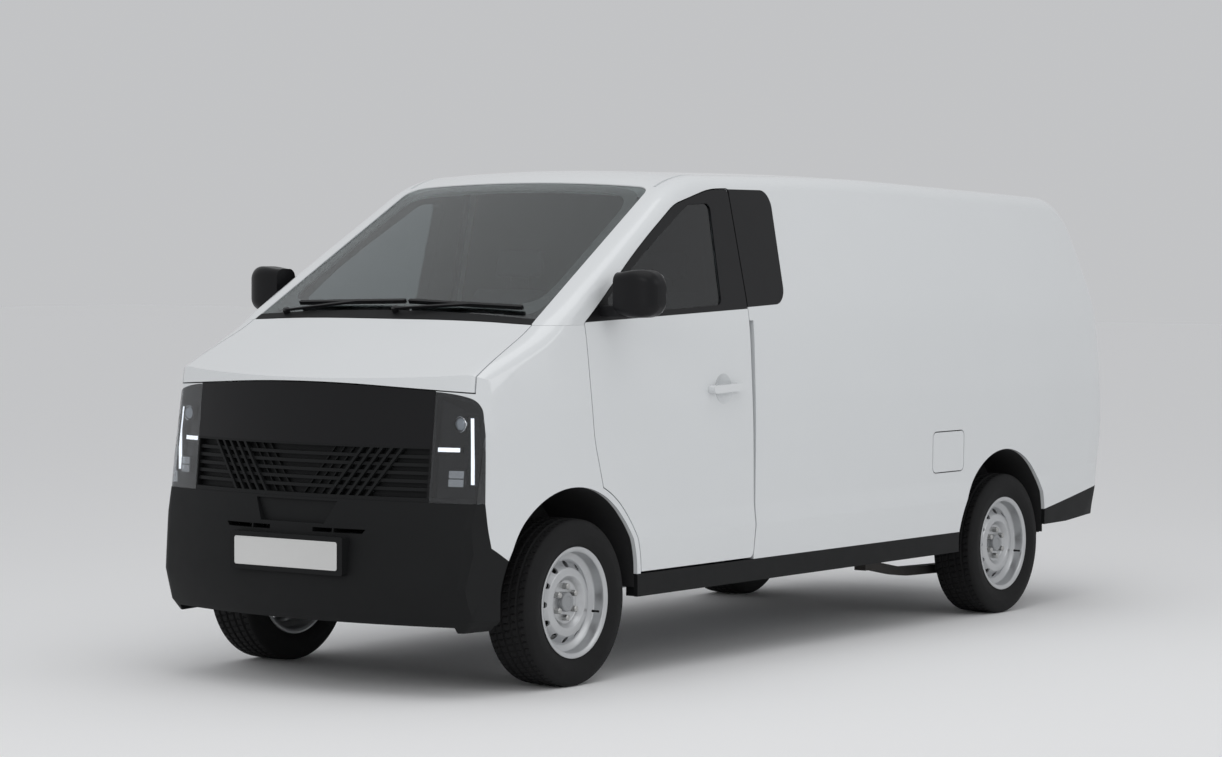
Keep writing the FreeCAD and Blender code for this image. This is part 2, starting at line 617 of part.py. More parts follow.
def build_body(van, zones):
    """Every fixed painted panel, cut from the wall between the outer form and the inner one."""
    s = van.s
    wall, wall_left = zones.wall, zones.wall_left
    van.add("hood", plain(wall.common(zones.bonnet)))
    van.add("cowl", plain(wall.common(zones.cowl).cut(zones.bonnet_cut)))
    van.add("roof", plain(wall.common(zones.roof).cut(zones.ditches)))

    fender = side_box(s, s.far_front_y, s.front_arch_y + s.side_far, s.fender_low_z, s.split_z)
    fender = wall_left.common(fender).cut(side_box(s, s.quarter_front_y, s.far_rear_y, s.low_z, s.high_z))
    ahead = side_box(s, s.far_front_y, s.door_from + s.door_span / 2, s.fender_low_z, s.split_z)
    lip_ring = arch_cut(s, "front", s.lip_wide).common(flank_form(s, 0)).cut(flank_form(s, s.lip_deep))
    lip_ring = lip_ring.common(side_box(s, s.front_arch_y, s.door_from + s.door_span / 2,
                                        s.quarter_low_z, s.split_z))
    fender = fender.common(ahead).cut(zones.door_cut)
    fender = fender.fuse(lip_ring.common(wall_left))
    face = box(-s.face_half - s.seam, s.face_half + s.seam, s.far_front_y, s.face_rear_y + s.seam,
               s.low_z, s.high_z)
    for cut in (zones.bonnet_cut, zones.front_arch, zones.front_well, zones.bumper_cut, zones.cowl,
                zones.screen, zones.lamp_cut, face):
        fender = fender.cut(cut)
    van.add("front_fenders", both_sides(plain(fender)))

    panel_zone = side_prism(s, framed(s, "door", PILLAR_PANEL_SHARES))
    under_panel = flank_form(s, s.panel_sink + s.panel_thick)
    panel_cut = panel_zone.cut(under_panel)
    panel = panel_zone.common(flank_form(s, s.panel_sink)).cut(under_panel).cut(zones.door_cut)
    panel = plain(panel.common(zones.left_half))

    cab = wall_left.common(side_box(s, s.cab_front_y, s.quarter_front_y, s.split_z + s.seam, s.high_z))
    for cut in (zones.door_cut, zones.screen, zones.cowl, zones.bonnet_cut, zones.roof, panel_cut,
                *zones.ditches):
        cab = cab.cut(cut)
    van.add_pair("cab_side", plain(cab))

    tailgate = framed(s, "tailgate", TAILGATE_SHARES)
    tailgate_zone = prism("XZ", tailgate, s.tailgate_front_y, s.far_rear_y)
    tailgate_cut = prism("XZ", grown(tailgate, s.shut_gap), s.tailgate_front_y - s.shut_gap, s.far_rear_y)
    rear_glass_zone = prism("XZ", framed(s, "tailgate", REAR_GLASS_SHARES), s.tailgate_front_y, s.far_rear_y)
    lamp_zone_rear = prism("XZ", framed(s, "tailgate", TAIL_LAMP_SHARES), s.lamp_front_y, s.far_rear_y)
    bumper_zone = prism("YZ", framed(s, "rear_bumper", REAR_BUMPER_SHARES), -s.side_far, s.side_far)
    quarter = wall_left.common(side_box(s, s.quarter_front_y, s.far_rear_y, s.quarter_low_z, s.high_z))
    for cut in (zones.door_cut, zones.roof, tailgate_cut, zones.rear_arch, zones.rear_well, bumper_zone,
                *zones.ditches):
        quarter = quarter.cut(cut)
    van.add("tail_lamps", both_sides(plain(wall_left.common(lamp_zone_rear))))
    quarter = plain(quarter.cut(lamp_zone_rear)).cut(panel_cut)

    flap_outline = framed(s, "flap", FLAP_SHARES)
    flap = side_prism(s, inset_corners(flap_outline, s.shut_gap)).common(skin(s, 0, s.flap_thick))
    van.add("charge_flap", plain(flap.common(zones.left_half)))
    pocket = prism("YZ", flap_outline, s.pocket_x, s.side_far)
    buffer = tube_x(s.buffer_radius, s.pocket_x, s.side_far, s.flap_from + s.flap_span - s.buffer_in,
                    s.flap_low + s.flap_tall / 2)
    pocket = pocket.cut(buffer.common(flank_form(s, s.flap_thick + s.clearance)))
    van.add("quarter_panel_left", plain(quarter.cut(pocket)))

    sliding_outline = framed(s, "sliding", SLIDING_SHARES)
    sliding_zone = side_prism(s, sliding_outline)
    sliding_cut = side_prism(s, grown(sliding_outline, s.shut_gap))
    track = side_box(s, s.sliding_from + s.sliding_span + s.shut_gap, s.track_rear_y,
                     s.track_z - s.track_half, s.track_z + s.track_half).cut(flank_form(s, s.track_deep))
    van.add("quarter_panel_right", mirrored(plain(quarter.cut(sliding_cut).cut(track))))
    sliding = wall_left.common(sliding_zone).cut(panel_cut).cut(zones.rear_arch)
    van.add("sliding_door", mirrored(plain(sliding)))
    right_panel = panel.cut(sliding_cut.cut(sliding_zone))
    van.add("pillar_panels", Part.makeCompound(panel.Solids + mirrored(right_panel).Solids))

    glass_in = s.glass_inset + s.glass_thick
    pane = top_form(s, s.glass_inset, 0).cut(top_form(s, glass_in, 0))
    van.add("windshield", plain(pane.common(zones.screen)))
    van.add("tailgate", plain(wall.common(tailgate_zone).cut(rear_glass_zone)))
    van.add("rear_glass", plain(pane.common(rear_glass_zone)))

    both_arches = zones.rear_arch.fuse(mirrored(zones.rear_arch))
    both_wells = zones.rear_well.fuse(mirrored(zones.rear_well))
    van.add("rear_bumper", plain(wall.common(bumper_zone).cut(both_arches).cut(both_wells)))
    sill = wall_left.common(side_box(s, s.sill_front_y, s.sill_rear_y, s.sill_low, s.quarter_low_z - s.seam))
    for cut in (zones.front_arch, zones.rear_arch, zones.front_well, zones.rear_well):
        sill = sill.cut(cut)
    van.add("sills", both_sides(plain(sill)))


def door_handle(s):
    """A pull handle that bridges its cup, both following the flank's surface."""
    bar = side_prism(s, framed(s, "door", HANDLE_SHARES)).common(
        skin(s, -s.handle_out, s.handle_thick - s.handle_out))
    roots = side_prism(s, framed(s, "door", HANDLE_FRONT_SHARES)).fuse(
        side_prism(s, framed(s, "door", HANDLE_REAR_SHARES)))
    roots = roots.common(skin(s, -s.handle_out, s.handle_root))
    outline = framed(s, "door", HANDLE_SHARES)
    y = (outline[0][0] + outline[2][0]) / 2
    z = (outline[0][1] + outline[2][1]) / 2
    surface = half_width(s, y, z)
    cup = Part.makeSphere(s.cup_radius, Vector(surface - s.cup_deep + s.cup_radius, y, z))
    return bar.fuse(roots), cup


def build_doors(van, zones):
    """The two front doors: painted lower half with its handle, black window frame and fixed glass."""
    s = van.s
    door = zones.wall_left.common(zones.door).cut(arch_cut(s, "front", s.lip_wide + s.shut_gap))
    above = side_prism(s, framed(s, "door", ABOVE_BELT_SHARES))
    window = side_prism(s, framed(s, "door", WINDOW_SHARES))
    handle, cup = door_handle(s)
    lower = door.cut(above).cut(cup).fuse(handle)
    frame = door.common(above).common(flank_form(s, s.frame_sink)).cut(window)
    glass = skin(s, s.door_glass_sink, s.door_glass_sink + s.glass_thick)
    van.add_pair("door", plain(lower))
    van.add_pair("door_frame", plain(frame))
    van.add_pair("door_glass", plain(glass.common(window).common(zones.left_half)))


# The nose

FACE = {
    "face_half": 595, "face_rear_y": -2300, "panel_low_z": 962, "grille_low_z": 740,
    # lamps
    "lamp_back_y": -2403, "lamp_low_z": 700, "lamp_top_z": 1172, "lamp_top_round": 85,
    "cover_thick": 3, "lamp_rim": 9, "lamp_deep": 32, "unit_out": 12,
    "projector_x": 690, "projector_z": 1048, "projector_half": 34, "projector_round": 16,
    "eye_radius": 24, "eye_in": 6, "bar_x": 655, "bar_z": 951, "bar_half": 46, "bar_tall": 10,
    "reflector_x": 690, "reflector_z": 842, "reflector_half": 36, "reflector_round": 12,
    "guide_y": -2420, "guide_wide": 11, "guide_low_z": 812, "guide_high_z": 1080,
    # grille
    "frame_wide": 9, "slat_count": 5, "slat_tall": 13, "slat_in": 9, "slat_out": 28, "rib_count": 5,
    "rib_top_x": 300, "rib_foot_x": 146, "rib_pitch": 43, "rib_wide": 13, "grille_back": 40, "bar_root": 6,
    "mesh_count": 3, "mesh_wide": 6, "mesh_in": 15,
    # front bumper
    "bumper_rear_y": -2250, "bumper_arch_z": 507, "bumper_step_y": -2375, "bumper_step_z": 577,
    "bumper_top_y": -2403, "bumper_side_z": 747, "bumper_mid_z": 758,
    "crease_out": 18, "bumper_crease_z": 652, "bumper_lower_z": 424, "lower_out": 18,
    "bumper_foot_z": 300, "foot_in": 24, "under_z": 255, "under_in": 60,
    "recess_top": 205, "recess_low": 160, "recess_top_z": 742, "recess_low_z": 655, "recess_deep": 26,
    "slot_from": 108, "slot_mid": 200, "slot_bar": 8, "slot_to": 352, "slot_z": 640, "slot_tall": 17,
    "slot_slope": 14, "plinth_half": 285, "plinth_low": 462, "plinth_high": 610, "plinth_y": -2651,
    "plinth_round": 8,
}


def lamp_zone(s, gap):
    """A lamp's side outline, its top outer corner rounded, kept outboard of the black panel."""
    outline = [(s.far_front_y, s.lamp_low_z), (s.lamp_back_y + gap, s.lamp_low_z),
               (s.lamp_back_y + gap, s.lamp_top_z + gap, s.lamp_top_round),
               (s.far_front_y, s.lamp_top_z + gap)]
    return prism("YZ", outline, s.face_half - gap, s.side_far)


def front_bumper_side(s):
    """The front bumper's outline from the side: its step climbs from the arch to the lamp."""
    return [(s.far_front_y, s.low_z), (s.bumper_rear_y, s.low_z), (s.bumper_rear_y, s.bumper_arch_z),
            (s.bumper_step_y, s.bumper_step_z), (s.bumper_top_y, s.bumper_side_z),
            (s.far_front_y, s.bumper_mid_z)]


def corner_form(s, inset):
    """Everything under the left front corner's surface, the surface moved in by inset."""
    return nose_form(s, inset).common(flank_form(s, inset))


def squared(s, x, z, half, round_radius, y0, y1):
    """A rounded square seen from ahead, pushed from y0 to y1."""
    corners = [(x - half, z - half, round_radius), (x + half, z - half, round_radius),
               (x + half, z + half, round_radius), (x - half, z + half, round_radius)]
    return prism("XZ", corners, y0, y1)


def build_lamps(van, zones):
    """Two headlamps: a black housing with its units in an open bowl, under a clear cover."""
    s = van.s
    front, back = s.far_front_y, s.face_rear_y
    lamp = zones.wall_left.common(zones.lamp).cut(zones.over_cut).cut(zones.bumper_cut)
    cover = plain(lamp.cut(corner_form(s, s.cover_thick)))
    housing = lamp.common(corner_form(s, s.cover_thick + s.clearance))
    inside = lamp_zone(s, -s.lamp_rim).common(
        box(0, s.side_far, front, s.lamp_back_y - s.lamp_rim, s.bumper_mid_z + s.lamp_rim,
            s.lead_edge_z - s.lamp_rim - s.shut_gap))
    projector = squared(s, s.projector_x, s.projector_z, s.projector_half, s.projector_round, front, back)
    eye = Part.makeCylinder(s.eye_radius, back - front, Vector(s.projector_x, front, s.projector_z),
                            Vector(0, 1, 0))
    reflector = squared(s, s.reflector_x, s.reflector_z, s.reflector_half, s.reflector_round, front, back)
    bar = box(s.bar_x - s.bar_half, s.bar_x + s.bar_half, front, back, s.bar_z - s.bar_tall,
              s.bar_z + s.bar_tall)
    guide = box(s.projector_x + s.projector_half, s.side_far, s.guide_y - s.guide_wide,
                s.guide_y + s.guide_wide, s.guide_low_z, s.guide_high_z)
    units = projector.cut(eye).fuse([reflector, bar, guide]).common(corner_form(s, s.unit_out))
    lens = eye.common(corner_form(s, s.unit_out + s.eye_in))
    units = units.fuse(lens).common(inside).cut(corner_form(s, s.lamp_deep + s.clearance))
    housing = housing.cut(inside.cut(corner_form(s, s.lamp_deep))).fuse(units)
    van.add("headlamps", both_sides(plain(housing)))
    van.add("lamp_covers", both_sides(cover))


def build_grille(van, zones):
    """The grille: a frame, slats across, five slanted ribs each side and a fine lattice between."""
    s = van.s
    front, back = s.far_front_y, s.face_rear_y
    low, high = s.bumper_mid_z, s.panel_low_z
    block = box(-s.face_half, s.face_half, front, back, s.grille_low_z, high).cut(zones.bumper_cut)
    opening = box(s.frame_wide - s.face_half, s.face_half - s.frame_wide, front, back,
                  low + s.frame_wide, high - s.frame_wide)
    pitch = (high - low - 2 * s.frame_wide) / (s.slat_count + 1)
    slats = []
    for i in range(int(s.slat_count)):
        z = low + s.frame_wide + pitch * (i + 1)
        slats.append(box(-s.face_half, s.face_half, front, back, z - s.slat_tall / 2, z + s.slat_tall / 2))
    ribs, lattice = [block.cut(opening)], []
    for sign in (-1, 1):
        for i in range(int(s.rib_count)):
            foot, top = s.rib_foot_x + i * s.rib_pitch, s.rib_top_x + i * s.rib_pitch
            ribs.append(leaning_bar(s, sign, foot, top, s.rib_wide, low, high))
        for i in range(int(s.mesh_count)):
            foot = s.rib_foot_x - (i + 1) * s.rib_pitch
            lattice.append(leaning_bar(s, sign, foot, foot + s.rib_top_x - s.rib_foot_x, s.mesh_wide, low, high))
    root = s.slat_out + s.bar_root
    proud = nose_form(s, 0).cut(nose_form(s, root))
    deep = nose_form(s, s.slat_in).cut(nose_form(s, root + s.clearance))
    fine = nose_form(s, s.mesh_in).cut(nose_form(s, root - s.clearance))
    backing = nose_form(s, s.slat_out).cut(nose_form(s, s.grille_back)).common(block)
    bars = ribs[0].fuse(ribs[1:]).common(block).common(proud)
    slats = slats[0].fuse(slats[1:]).common(block).common(deep)
    lattice = lattice[0].fuse(lattice[1:]).common(block).common(fine)
    van.add("grille", plain(backing.fuse([bars, slats, lattice])))


def leaning_bar(s, sign, foot, top, wide, low, high):
    """A bar seen from ahead that leans outwards from its foot to its top."""
    corners = [(sign * foot, low), (sign * (foot + wide), low), (sign * (top + wide), high),
               (sign * top, high)]
    return prism("XZ", corners, s.far_front_y, s.face_rear_y)


def bumper_ring(s, out, z, narrow):
    """The bumper's plan outline at one height: the nose's bow pushed out, its corners drawn in."""
    return nose_wire(s, -out, z, s.face_corner_half - narrow)


def build_front_bumper(van, zones):
    """The bumper: chamfered above and below its upright face, with a recess, four slots and a plinth."""
    s = van.s
    rings = [
        bumper_ring(s, 0, s.bumper_mid_z + s.clearance, 0),
        bumper_ring(s, s.crease_out, s.bumper_crease_z, s.crease_out / 2),
        bumper_ring(s, s.lower_out, s.bumper_lower_z, s.crease_out),
        bumper_ring(s, -s.foot_in, s.bumper_foot_z, s.crease_out + s.foot_in),
        bumper_ring(s, -s.under_in, s.under_z, s.crease_out + s.under_in),
    ]
    form = Part.makeLoft(rings, True, True)
    form = form.common(flank_form(s, 0)).common(mirrored(flank_form(s, 0)))
    bumper = form.cut(zones.inner).common(prism("YZ", front_bumper_side(s), -s.side_far, s.side_far))
    recess = [(-s.recess_low, s.recess_low_z), (s.recess_low, s.recess_low_z),
              (s.recess_top, s.recess_top_z), (-s.recess_top, s.recess_top_z)]
    recess = prism("XZ", recess, s.far_front_y, s.face_rear_y).cut(nose_form(s, s.recess_deep - s.crease_out))
    cuts = [recess]
    for sign in (-1, 1):
        for start, end, slope in ((s.slot_from, s.slot_mid, 0), (s.slot_mid + s.slot_bar, s.slot_to, s.slot_slope)):
            corners = [(sign * start, s.slot_z - s.slot_tall), (sign * (end - slope), s.slot_z - s.slot_tall),
                       (sign * end, s.slot_z), (sign * start, s.slot_z)]
            cuts.append(prism("XZ", corners, s.far_front_y, s.face_rear_y))
    for hollow in (zones.front_arch, zones.front_well):
        cuts += [hollow, mirrored(hollow)]
    plinth = [(-s.plinth_half, s.plinth_low, s.plinth_round), (s.plinth_half, s.plinth_low, s.plinth_round),
              (s.plinth_half, s.plinth_high, s.plinth_round), (-s.plinth_half, s.plinth_high, s.plinth_round)]
    plinth = prism("XZ", plinth, s.plinth_y, s.face_y)
    for cut in cuts:
        bumper = bumper.cut(cut)
    van.add("front_bumper", plain(bumper.fuse(plinth)))


def build_face(van, zones):
    """The whole nose under the bonnet."""
    s = van.s
    panel = box(-s.face_half, s.face_half, s.far_front_y, s.face_rear_y, s.panel_low_z, s.high_z)
    van.add("front_panel", plain(zones.wall.common(panel).cut(zones.over_cut)))
    build_lamps(van, zones)
    build_grille(van, zones)
    build_front_bumper(van, zones)


# Everything under and inside the body.

CHASSIS = {
    # floor and underframe
    "floor_low": 540, "floor_top": 575, "floor_front_y": -1470, "floor_rear_y": 2600, "cab_floor_half": 768,
    "bulk_front_y": -600, "rocker_in": 690, "rocker_out": 768, "rocker_low": 414, "rocker_front_y": -1455,
    "rocker_rear_y": 1120, "liner": 10, "liner_front_in": 448, "liner_rear_in": 560,
    "rail_in": 345, "rail_wide": 80, "rail_low": 440, "rail_high": 100, "rail_front_y": -2480,
    "rail_long": 4960, "cross_wide": 70, "cross_rear_y": 2410, "bumper_beam_y": -2540,
    "beam_half": 350, "wall_plate": 25, "firewall_y": -1985, "firewall_half": 750, "firewall_low": 830,
    "firewall_high": 1300, "toe_half": 446,
    "board_half": 545, "board_front_y": -545, "board_rear_y": 2240, "board_top": 581,
    # battery
    "pack_half": 500, "pack_front_y": -1150, "pack_low": 310,
    "pack_high": 130, "pack_round": 25,
    # axles
    "tube_radius": 45, "tube_half": 655, "hub_radius": 70, "drum_radius": 135, "drum_in": 655,
    "drum_out": 735, "hub_face": 751.7, "motor_radius": 135, "motor_in": -190, "motor_out": 150,
    "motor_ahead": 120, "diff_radius": 105, "diff_in": -70, "diff_out": 50,
    "spring_mid": 550, "spring_wide": 60, "spring_front_y": 745, "spring_rear_y": 2330, "hanger_long": 70,
    "hanger_low": 250, "shackle_low": 320, "ubolt_long": 110,
    # front suspension
    "knuckle_in": 612, "knuckle_out": 655, "knuckle_long": 90, "knuckle_low": 262, "knuckle_high": 440,
    "stub_radius": 28, "disc_radius": 135, "disc_in": 690, "disc_out": 712, "strut_radius": 26,
    "coil_radius": 58, "strut_x": 522, "strut_top": 773, "coil_low": 520, "arm_thick": 36, "arm_z": 232,
    "arm_in": 330, "arm_out": 674, "arm_wide": 60, "subframe_long": 150,
    "rack_radius": 20, "rack_y": -1730, "rack_z": 300,
    # wheel
    "tyre_radius": 330, "tyre_half": 107, "tread_half": 84, "shoulder_radius": 322, "shoulder_across": 98,
    "wall_radius": 268, "bead_half": 87.3, "bead_radius": 205.4, "flange_side": 91.3, "flange_top": 220.6,
    "lip_across": 97.5, "lip_radius": 223,
}

RIM_SHARES = [
    # from one flange over the well to the other, then back under the disc and round the hub
    (1.0, 1.0, 0.016), (0.974, 1.0, 0.016), (0.954, 0.918, 0.011), (0.706, 0.908, 0.054),
    (0.655, 0.772, 0.054), (0.345, 0.772, 0.054), (0.268, 0.908, 0.054), (0.046, 0.918, 0.011),
    (0.026, 1.0, 0.016), (0.0, 1.0, 0.016), (0.0, 0.962, 0.011), (0.031, 0.886, 0.033),
    (0.242, 0.875, 0.054), (0.320, 0.739, 0.054), (0.613, 0.739, 0.033), (0.655, 0.663, 0.043),
    (0.789, 0.511, 0.054), (0.809, 0.391, 0.043), (0.686, 0.272, 0.054), (0.686, 0.0, 0.016),
    (0.716, 0.0, 0.016), (0.716, 0.261, 0.054), (0.840, 0.370, 0.054), (0.820, 0.533, 0.065),
    (0.686, 0.685, 0.043), (0.670, 0.739, 0.022), (0.737, 0.875, 0.054), (0.969, 0.886, 0.033),
    (1.0, 0.962, 0.011),
]
WHEEL = {
    "hole_count": 12, "hole_radius": 13, "hole_circle": 149, "nut_count": 6, "nut_circle": 62,
    "nut_radius": 10, "nut_out": 64, "cap_radius": 37, "cap_out": 60, "hub_plane": 36, "cap_round": 4,
    "rim_from": -97, "rim_span": 194, "rim_low": 36, "rim_tall": 184,
}
SPRING_SHARES = [(0.0, 0.556), (0.192, 0.113), (0.528, 0.0), (0.842, 0.274), (1.0, 1.0)]
TOE_SHARES = [(1.0, 0.0), (1.0, 0.040), (0.049, 0.411), (0.049, 1.0), (0.0, 1.0), (0.0, 0.393)]
DASH_SHARES = [(0.0, 1.0, 0.05), (0.8, 0.887, 0.15), (1.0, 0.725, 0.15), (0.925, 0.3, 0.1), (0.65, 0.0, 0.15),
               (0.0, 0.0)]
SEAT_SHARES = [(0.016, 0.0, 0.035), (0.0, 0.209, 0.07), (0.176, 0.244, 0.07), (0.672, 0.215, 0.07),
               (0.848, 0.93, 0.07), (0.896, 1.0, 0.035), (1.0, 1.0, 0.035), (0.944, 0.349), (0.928, 0.0, 0.035)]
HEAD_SHARES = [(0.896, 1.017, 0.035), (0.944, 1.186, 0.041), (1.021, 1.186, 0.035), (1.021, 1.017, 0.023)]
CABIN = {
    "seat_mid": 380, "seat_half": 250, "head_half": 130, "seat_base_half": 210, "seat_base_low": 575,
    "seat_base_front": -1150, "seat_base_rear": -720, "seat_base_top": 702, "dash_half": 700,
    "wheel_ring": 185, "wheel_grip": 15, "wheel_y": -1430, "wheel_z": 1190, "wheel_tilt": 40,
    "boss_radius": 55, "boss_thick": 45, "spoke_wide": 34, "column_radius": 28, "column_long": 240,
    "bulk_y": -590, "bulk_thick": 30, "post_front": -668, "post_rear": -640, "post_low": 1540,
    "post_high": 1600, "seat_from": -1250, "seat_span": 625, "seat_low": 700, "seat_tall": 860,
    "dash_from": -1959.7, "dash_span": 400, "dash_low": 900, "dash_tall": 400,
}
# Rounded sections of the mirror's head at four places across, as shares of its frame.
MIRROR_SHARES = [(0.04, 0.90, 0.05, 0.95), (0.0, 1.0, 0.0, 1.0), (0.20, 0.94, 0.08, 0.92),
                 (0.42, 0.84, 0.22, 0.76)]
MIRROR = {
    "mirror_from": -1706, "mirror_span": 138, "mirror_low": 1446, "mirror_tall": 188,
    "mirror_in_x": 872, "mirror_mid_x": 962, "mirror_far_x": 1034, "mirror_tip_x": 1052,
    "mirror_round": 38, "mirror_tip_round": 20, "mirror_flat": 8,
    "arm_root_x": 800, "arm_root_front": -1704, "arm_root_rear": -1644, "arm_knee_x": 880,
    "arm_knee_y": -1700, "arm_tip_x": 930, "arm_tip_front": -1684, "arm_tip_rear": -1610,
    "arm_back_x": 860, "arm_back_y": -1634, "arm_round": 10, "arm_low": 1450, "arm_high": 1492,
}


def polygon_solid(points, thick, bend, width_from, width_to):
    """A band of even thickness along a (y, z) line, pushed across X."""
    upper, lower = [], []
    for i, (y, z) in enumerate(points):
        back = points[max(i - 1, 0)]
        ahead = points[min(i + 1, len(points) - 1)]
        along = Vector(ahead[0] - back[0], ahead[1] - back[1], 0).normalize()
        upper.append((y - along.y * thick / 2, z + along.x * thick / 2, bend))
        lower.append((y + along.y * thick / 2, z - along.x * thick / 2, bend))
    upper[0], lower[0] = upper[0][:2], lower[0][:2]
    upper[-1], lower[-1] = upper[-1][:2], lower[-1][:2]
    return prism("YZ", upper + lower[::-1], width_from, width_to)


def build_floor(van, inner):
    """Load floor with its board, cab floor and firewall, cut away round the wheels."""
    s = van.s
    slab = inner.common(box(-s.side_far, s.side_far, s.bulk_front_y, s.floor_rear_y, s.floor_low, s.floor_top))
    by_doors = flank_form(s, s.side_wall + s.shut_gap)
    cab_slab = box(-s.cab_floor_half, s.cab_floor_half, s.floor_front_y, s.bulk_front_y, s.floor_low,
                   s.floor_top).common(by_doors).common(mirrored(by_doors))
    toe = prism("YZ", framed(s, "toe", TOE_SHARES), -s.toe_half, s.toe_half)
    wings = box(-s.firewall_half, s.firewall_half, s.firewall_y, s.firewall_y + s.wall_plate,
                s.firewall_low, s.firewall_high)
    rocker = box(s.rocker_in, s.rocker_out, s.rocker_front_y, s.bulk_front_y, s.rocker_low, s.floor_low)
    rocker = rocker.common(by_doors).fuse(inner.common(
        box(s.rocker_in, s.side_far, s.bulk_front_y, s.rocker_rear_y, s.rocker_low, s.floor_low)))
    board = box(-s.board_half, s.board_half, s.board_front_y, s.board_rear_y, s.floor_low, s.board_top)
    floor = slab.fuse([cab_slab, toe, wings, rocker, mirrored(rocker), board])
    cuts = []
    for end, reach_in in (("front", s.liner_front_in), ("rear", s.liner_rear_in)):
        well = wheel_well(s, end, reach_in - s.clearance, s.liner + s.clearance)
        cuts += [well, mirrored(well)]
    for x in (-s.tie_half, s.tie_half):
        for y in (s.tie_front_y, s.tie_rear_y):
            cuts.append(Part.makeCylinder(s.tie_radius, s.rail_high, Vector(x, y, s.floor_top - s.rail_high)))
    for hollow in cuts:
        floor = floor.cut(hollow)
    van.add("floor", plain(floor))


def wheel_well(s, end, reach_in, grow):
    """The room of one left wheel: round above the arch's middle, open below it."""
    y, z, radius = arch_size(s, end)
    radius += grow
    above = tube_x(radius, reach_in, s.side_far, y, z)
    return above.fuse(box(reach_in, s.side_far, y - radius, y + radius, 0, z))


def build_liners(van):
    """A black liner over each wheel, seated behind the arch's lip."""
    s = van.s
    liners = []
    axle = tube_x(s.tube_radius + s.shut_gap, -s.side_far, s.side_far, s.rear_axle_y, s.axle_height)
    for end, reach_in in (("front", s.liner_front_in), ("rear", s.liner_rear_in)):
        y, z, radius = arch_size(s, end)
        shell = tube_x(radius + s.liner, reach_in, s.side_far, y, z)
        shell = shell.common(box(reach_in, s.side_far, y - s.side_far, y + s.side_far, z, s.high_z))
        shell = shell.cut(wheel_well(s, end, reach_in + s.liner, 0)).cut(axle)
        shell = plain(shell.common(flank_form(s, s.lip_deep + s.clearance)))
        liners += [shell, mirrored(shell)]
    van.add("wheel_liners", Part.makeCompound([solid for shell in liners for solid in shell.Solids]))


def build_underframe(van):
    """Two long rails, three cross members and the bumper beam."""
    left = van.bound_box("RailLeft", "rail_wide", "rail_long", "rail_high", "rail_in", "rail_front_y", "rail_low")
    right = van.doc.addObject("Part::Mirroring", "RailRight")
    right.Source = left
    right.Normal = Vector(1, 0, 0)
    front = van.bound_box("CrossFront", "cross_long", "cross_wide", "rail_high", "-rail_in", "rail_front_y",
                          "rail_low")
    middle = van.bound_box("CrossMiddle", "cross_long", "cross_wide", "rail_high", "-rail_in", "cross_mid_y",
                           "rail_low")
    rear = van.bound_box("CrossRear", "cross_long", "cross_wide", "rail_high", "-rail_in", "cross_rear_y",
                         "rail_low")
    beam = van.bound_box("BumperBeam", "beam_long", "beam_deep", "rail_high", "-beam_half", "bumper_beam_y",
                         "rail_low")
    frame = van.doc.addObject("Part::MultiFuse", "Underframe")
    frame.Shapes = [left, right, front, middle, rear, beam]
    van.keep("underframe", frame)


def build_grille_carrier(van):
    """The upright frame behind the nose, with the bonnet's two rubber stops."""
    s = van.s
    top = s.carrier_high
    bar = box(-s.carrier_half, s.carrier_half, s.carrier_y, s.carrier_y + s.carrier_deep,
              top - s.carrier_deep, top)
    parts = [bar]
    for side in (-1, 1):
        x = side * (s.rail_in + s.rail_wide / 2)
        post = box(x - s.carrier_deep, x + s.carrier_deep, s.carrier_y, s.carrier_y + s.carrier_deep,
                   s.floor_low, top - s.carrier_deep / 2)
        foot = Vector(side * s.stop_x, s.carrier_y + s.carrier_deep / 2, top - s.carrier_deep / 2)
        stop = Part.makeCylinder(s.stop_radius, s.high_z - top, foot)
        stop = stop.common(top_form(s, s.roof_wall + s.clearance, s.side_wall))
        parts += [post, stop]
    van.add("nose_carrier", plain(parts[0].fuse(parts[1:])))


def build_seals(van):
    """Rubber seals behind the shut lines of the doors and the tailgate."""
    s = van.s
    near = s.clearance
    flank_ring = skin(s, s.side_wall + near, s.side_wall + near + s.seal_thick)
    under_roof = top_form(s, s.roof_wall + near, s.side_wall)
    door = framed(s, "door", DOOR_SHARES)
    rings = []
    for corners, right in ((door, False), (door, True), (framed(s, "sliding", SLIDING_SHARES), True)):
        ring = side_prism(s, grown(corners, s.seal_out)).cut(side_prism(s, grown(corners, -s.seal_in)))
        ring = ring.common(flank_ring).cut(arch_cut(s, "front", s.liner + s.shut_gap))
        ring = ring.common(box(s.seal_from, s.side_far, s.far_front_y, s.far_rear_y, s.rocker_low, s.high_z))
        ring = ring.common(under_roof)
        rings.append(mirrored(ring) if right else ring)
    tailgate = framed(s, "tailgate", TAILGATE_SHARES)
    end = prism("XZ", grown(tailgate, s.seal_out), s.tailgate_front_y - s.seal_out, s.far_rear_y)
    end = end.cut(prism("XZ", grown(tailgate, -s.seal_in), s.tailgate_front_y + s.seal_in, s.far_rear_y))
    layer = under_roof.cut(top_form(s, s.roof_wall + near + s.seal_thick, s.side_wall))
    rings.append(end.common(layer).common(flank_form(s, s.side_wall + near)).common(
        mirrored(flank_form(s, s.side_wall + near))))
    others = [van.shape(name) for name in ("floor", "bulkhead", "cab_side_left", "cab_side_right",
                                           "dashboard", "rear_bumper", "wheel_liners")]
    solids = []
    for ring in rings:
        solids += plain(ring.cut(others)).Solids
    van.add("seals", Part.makeCompound(solids))


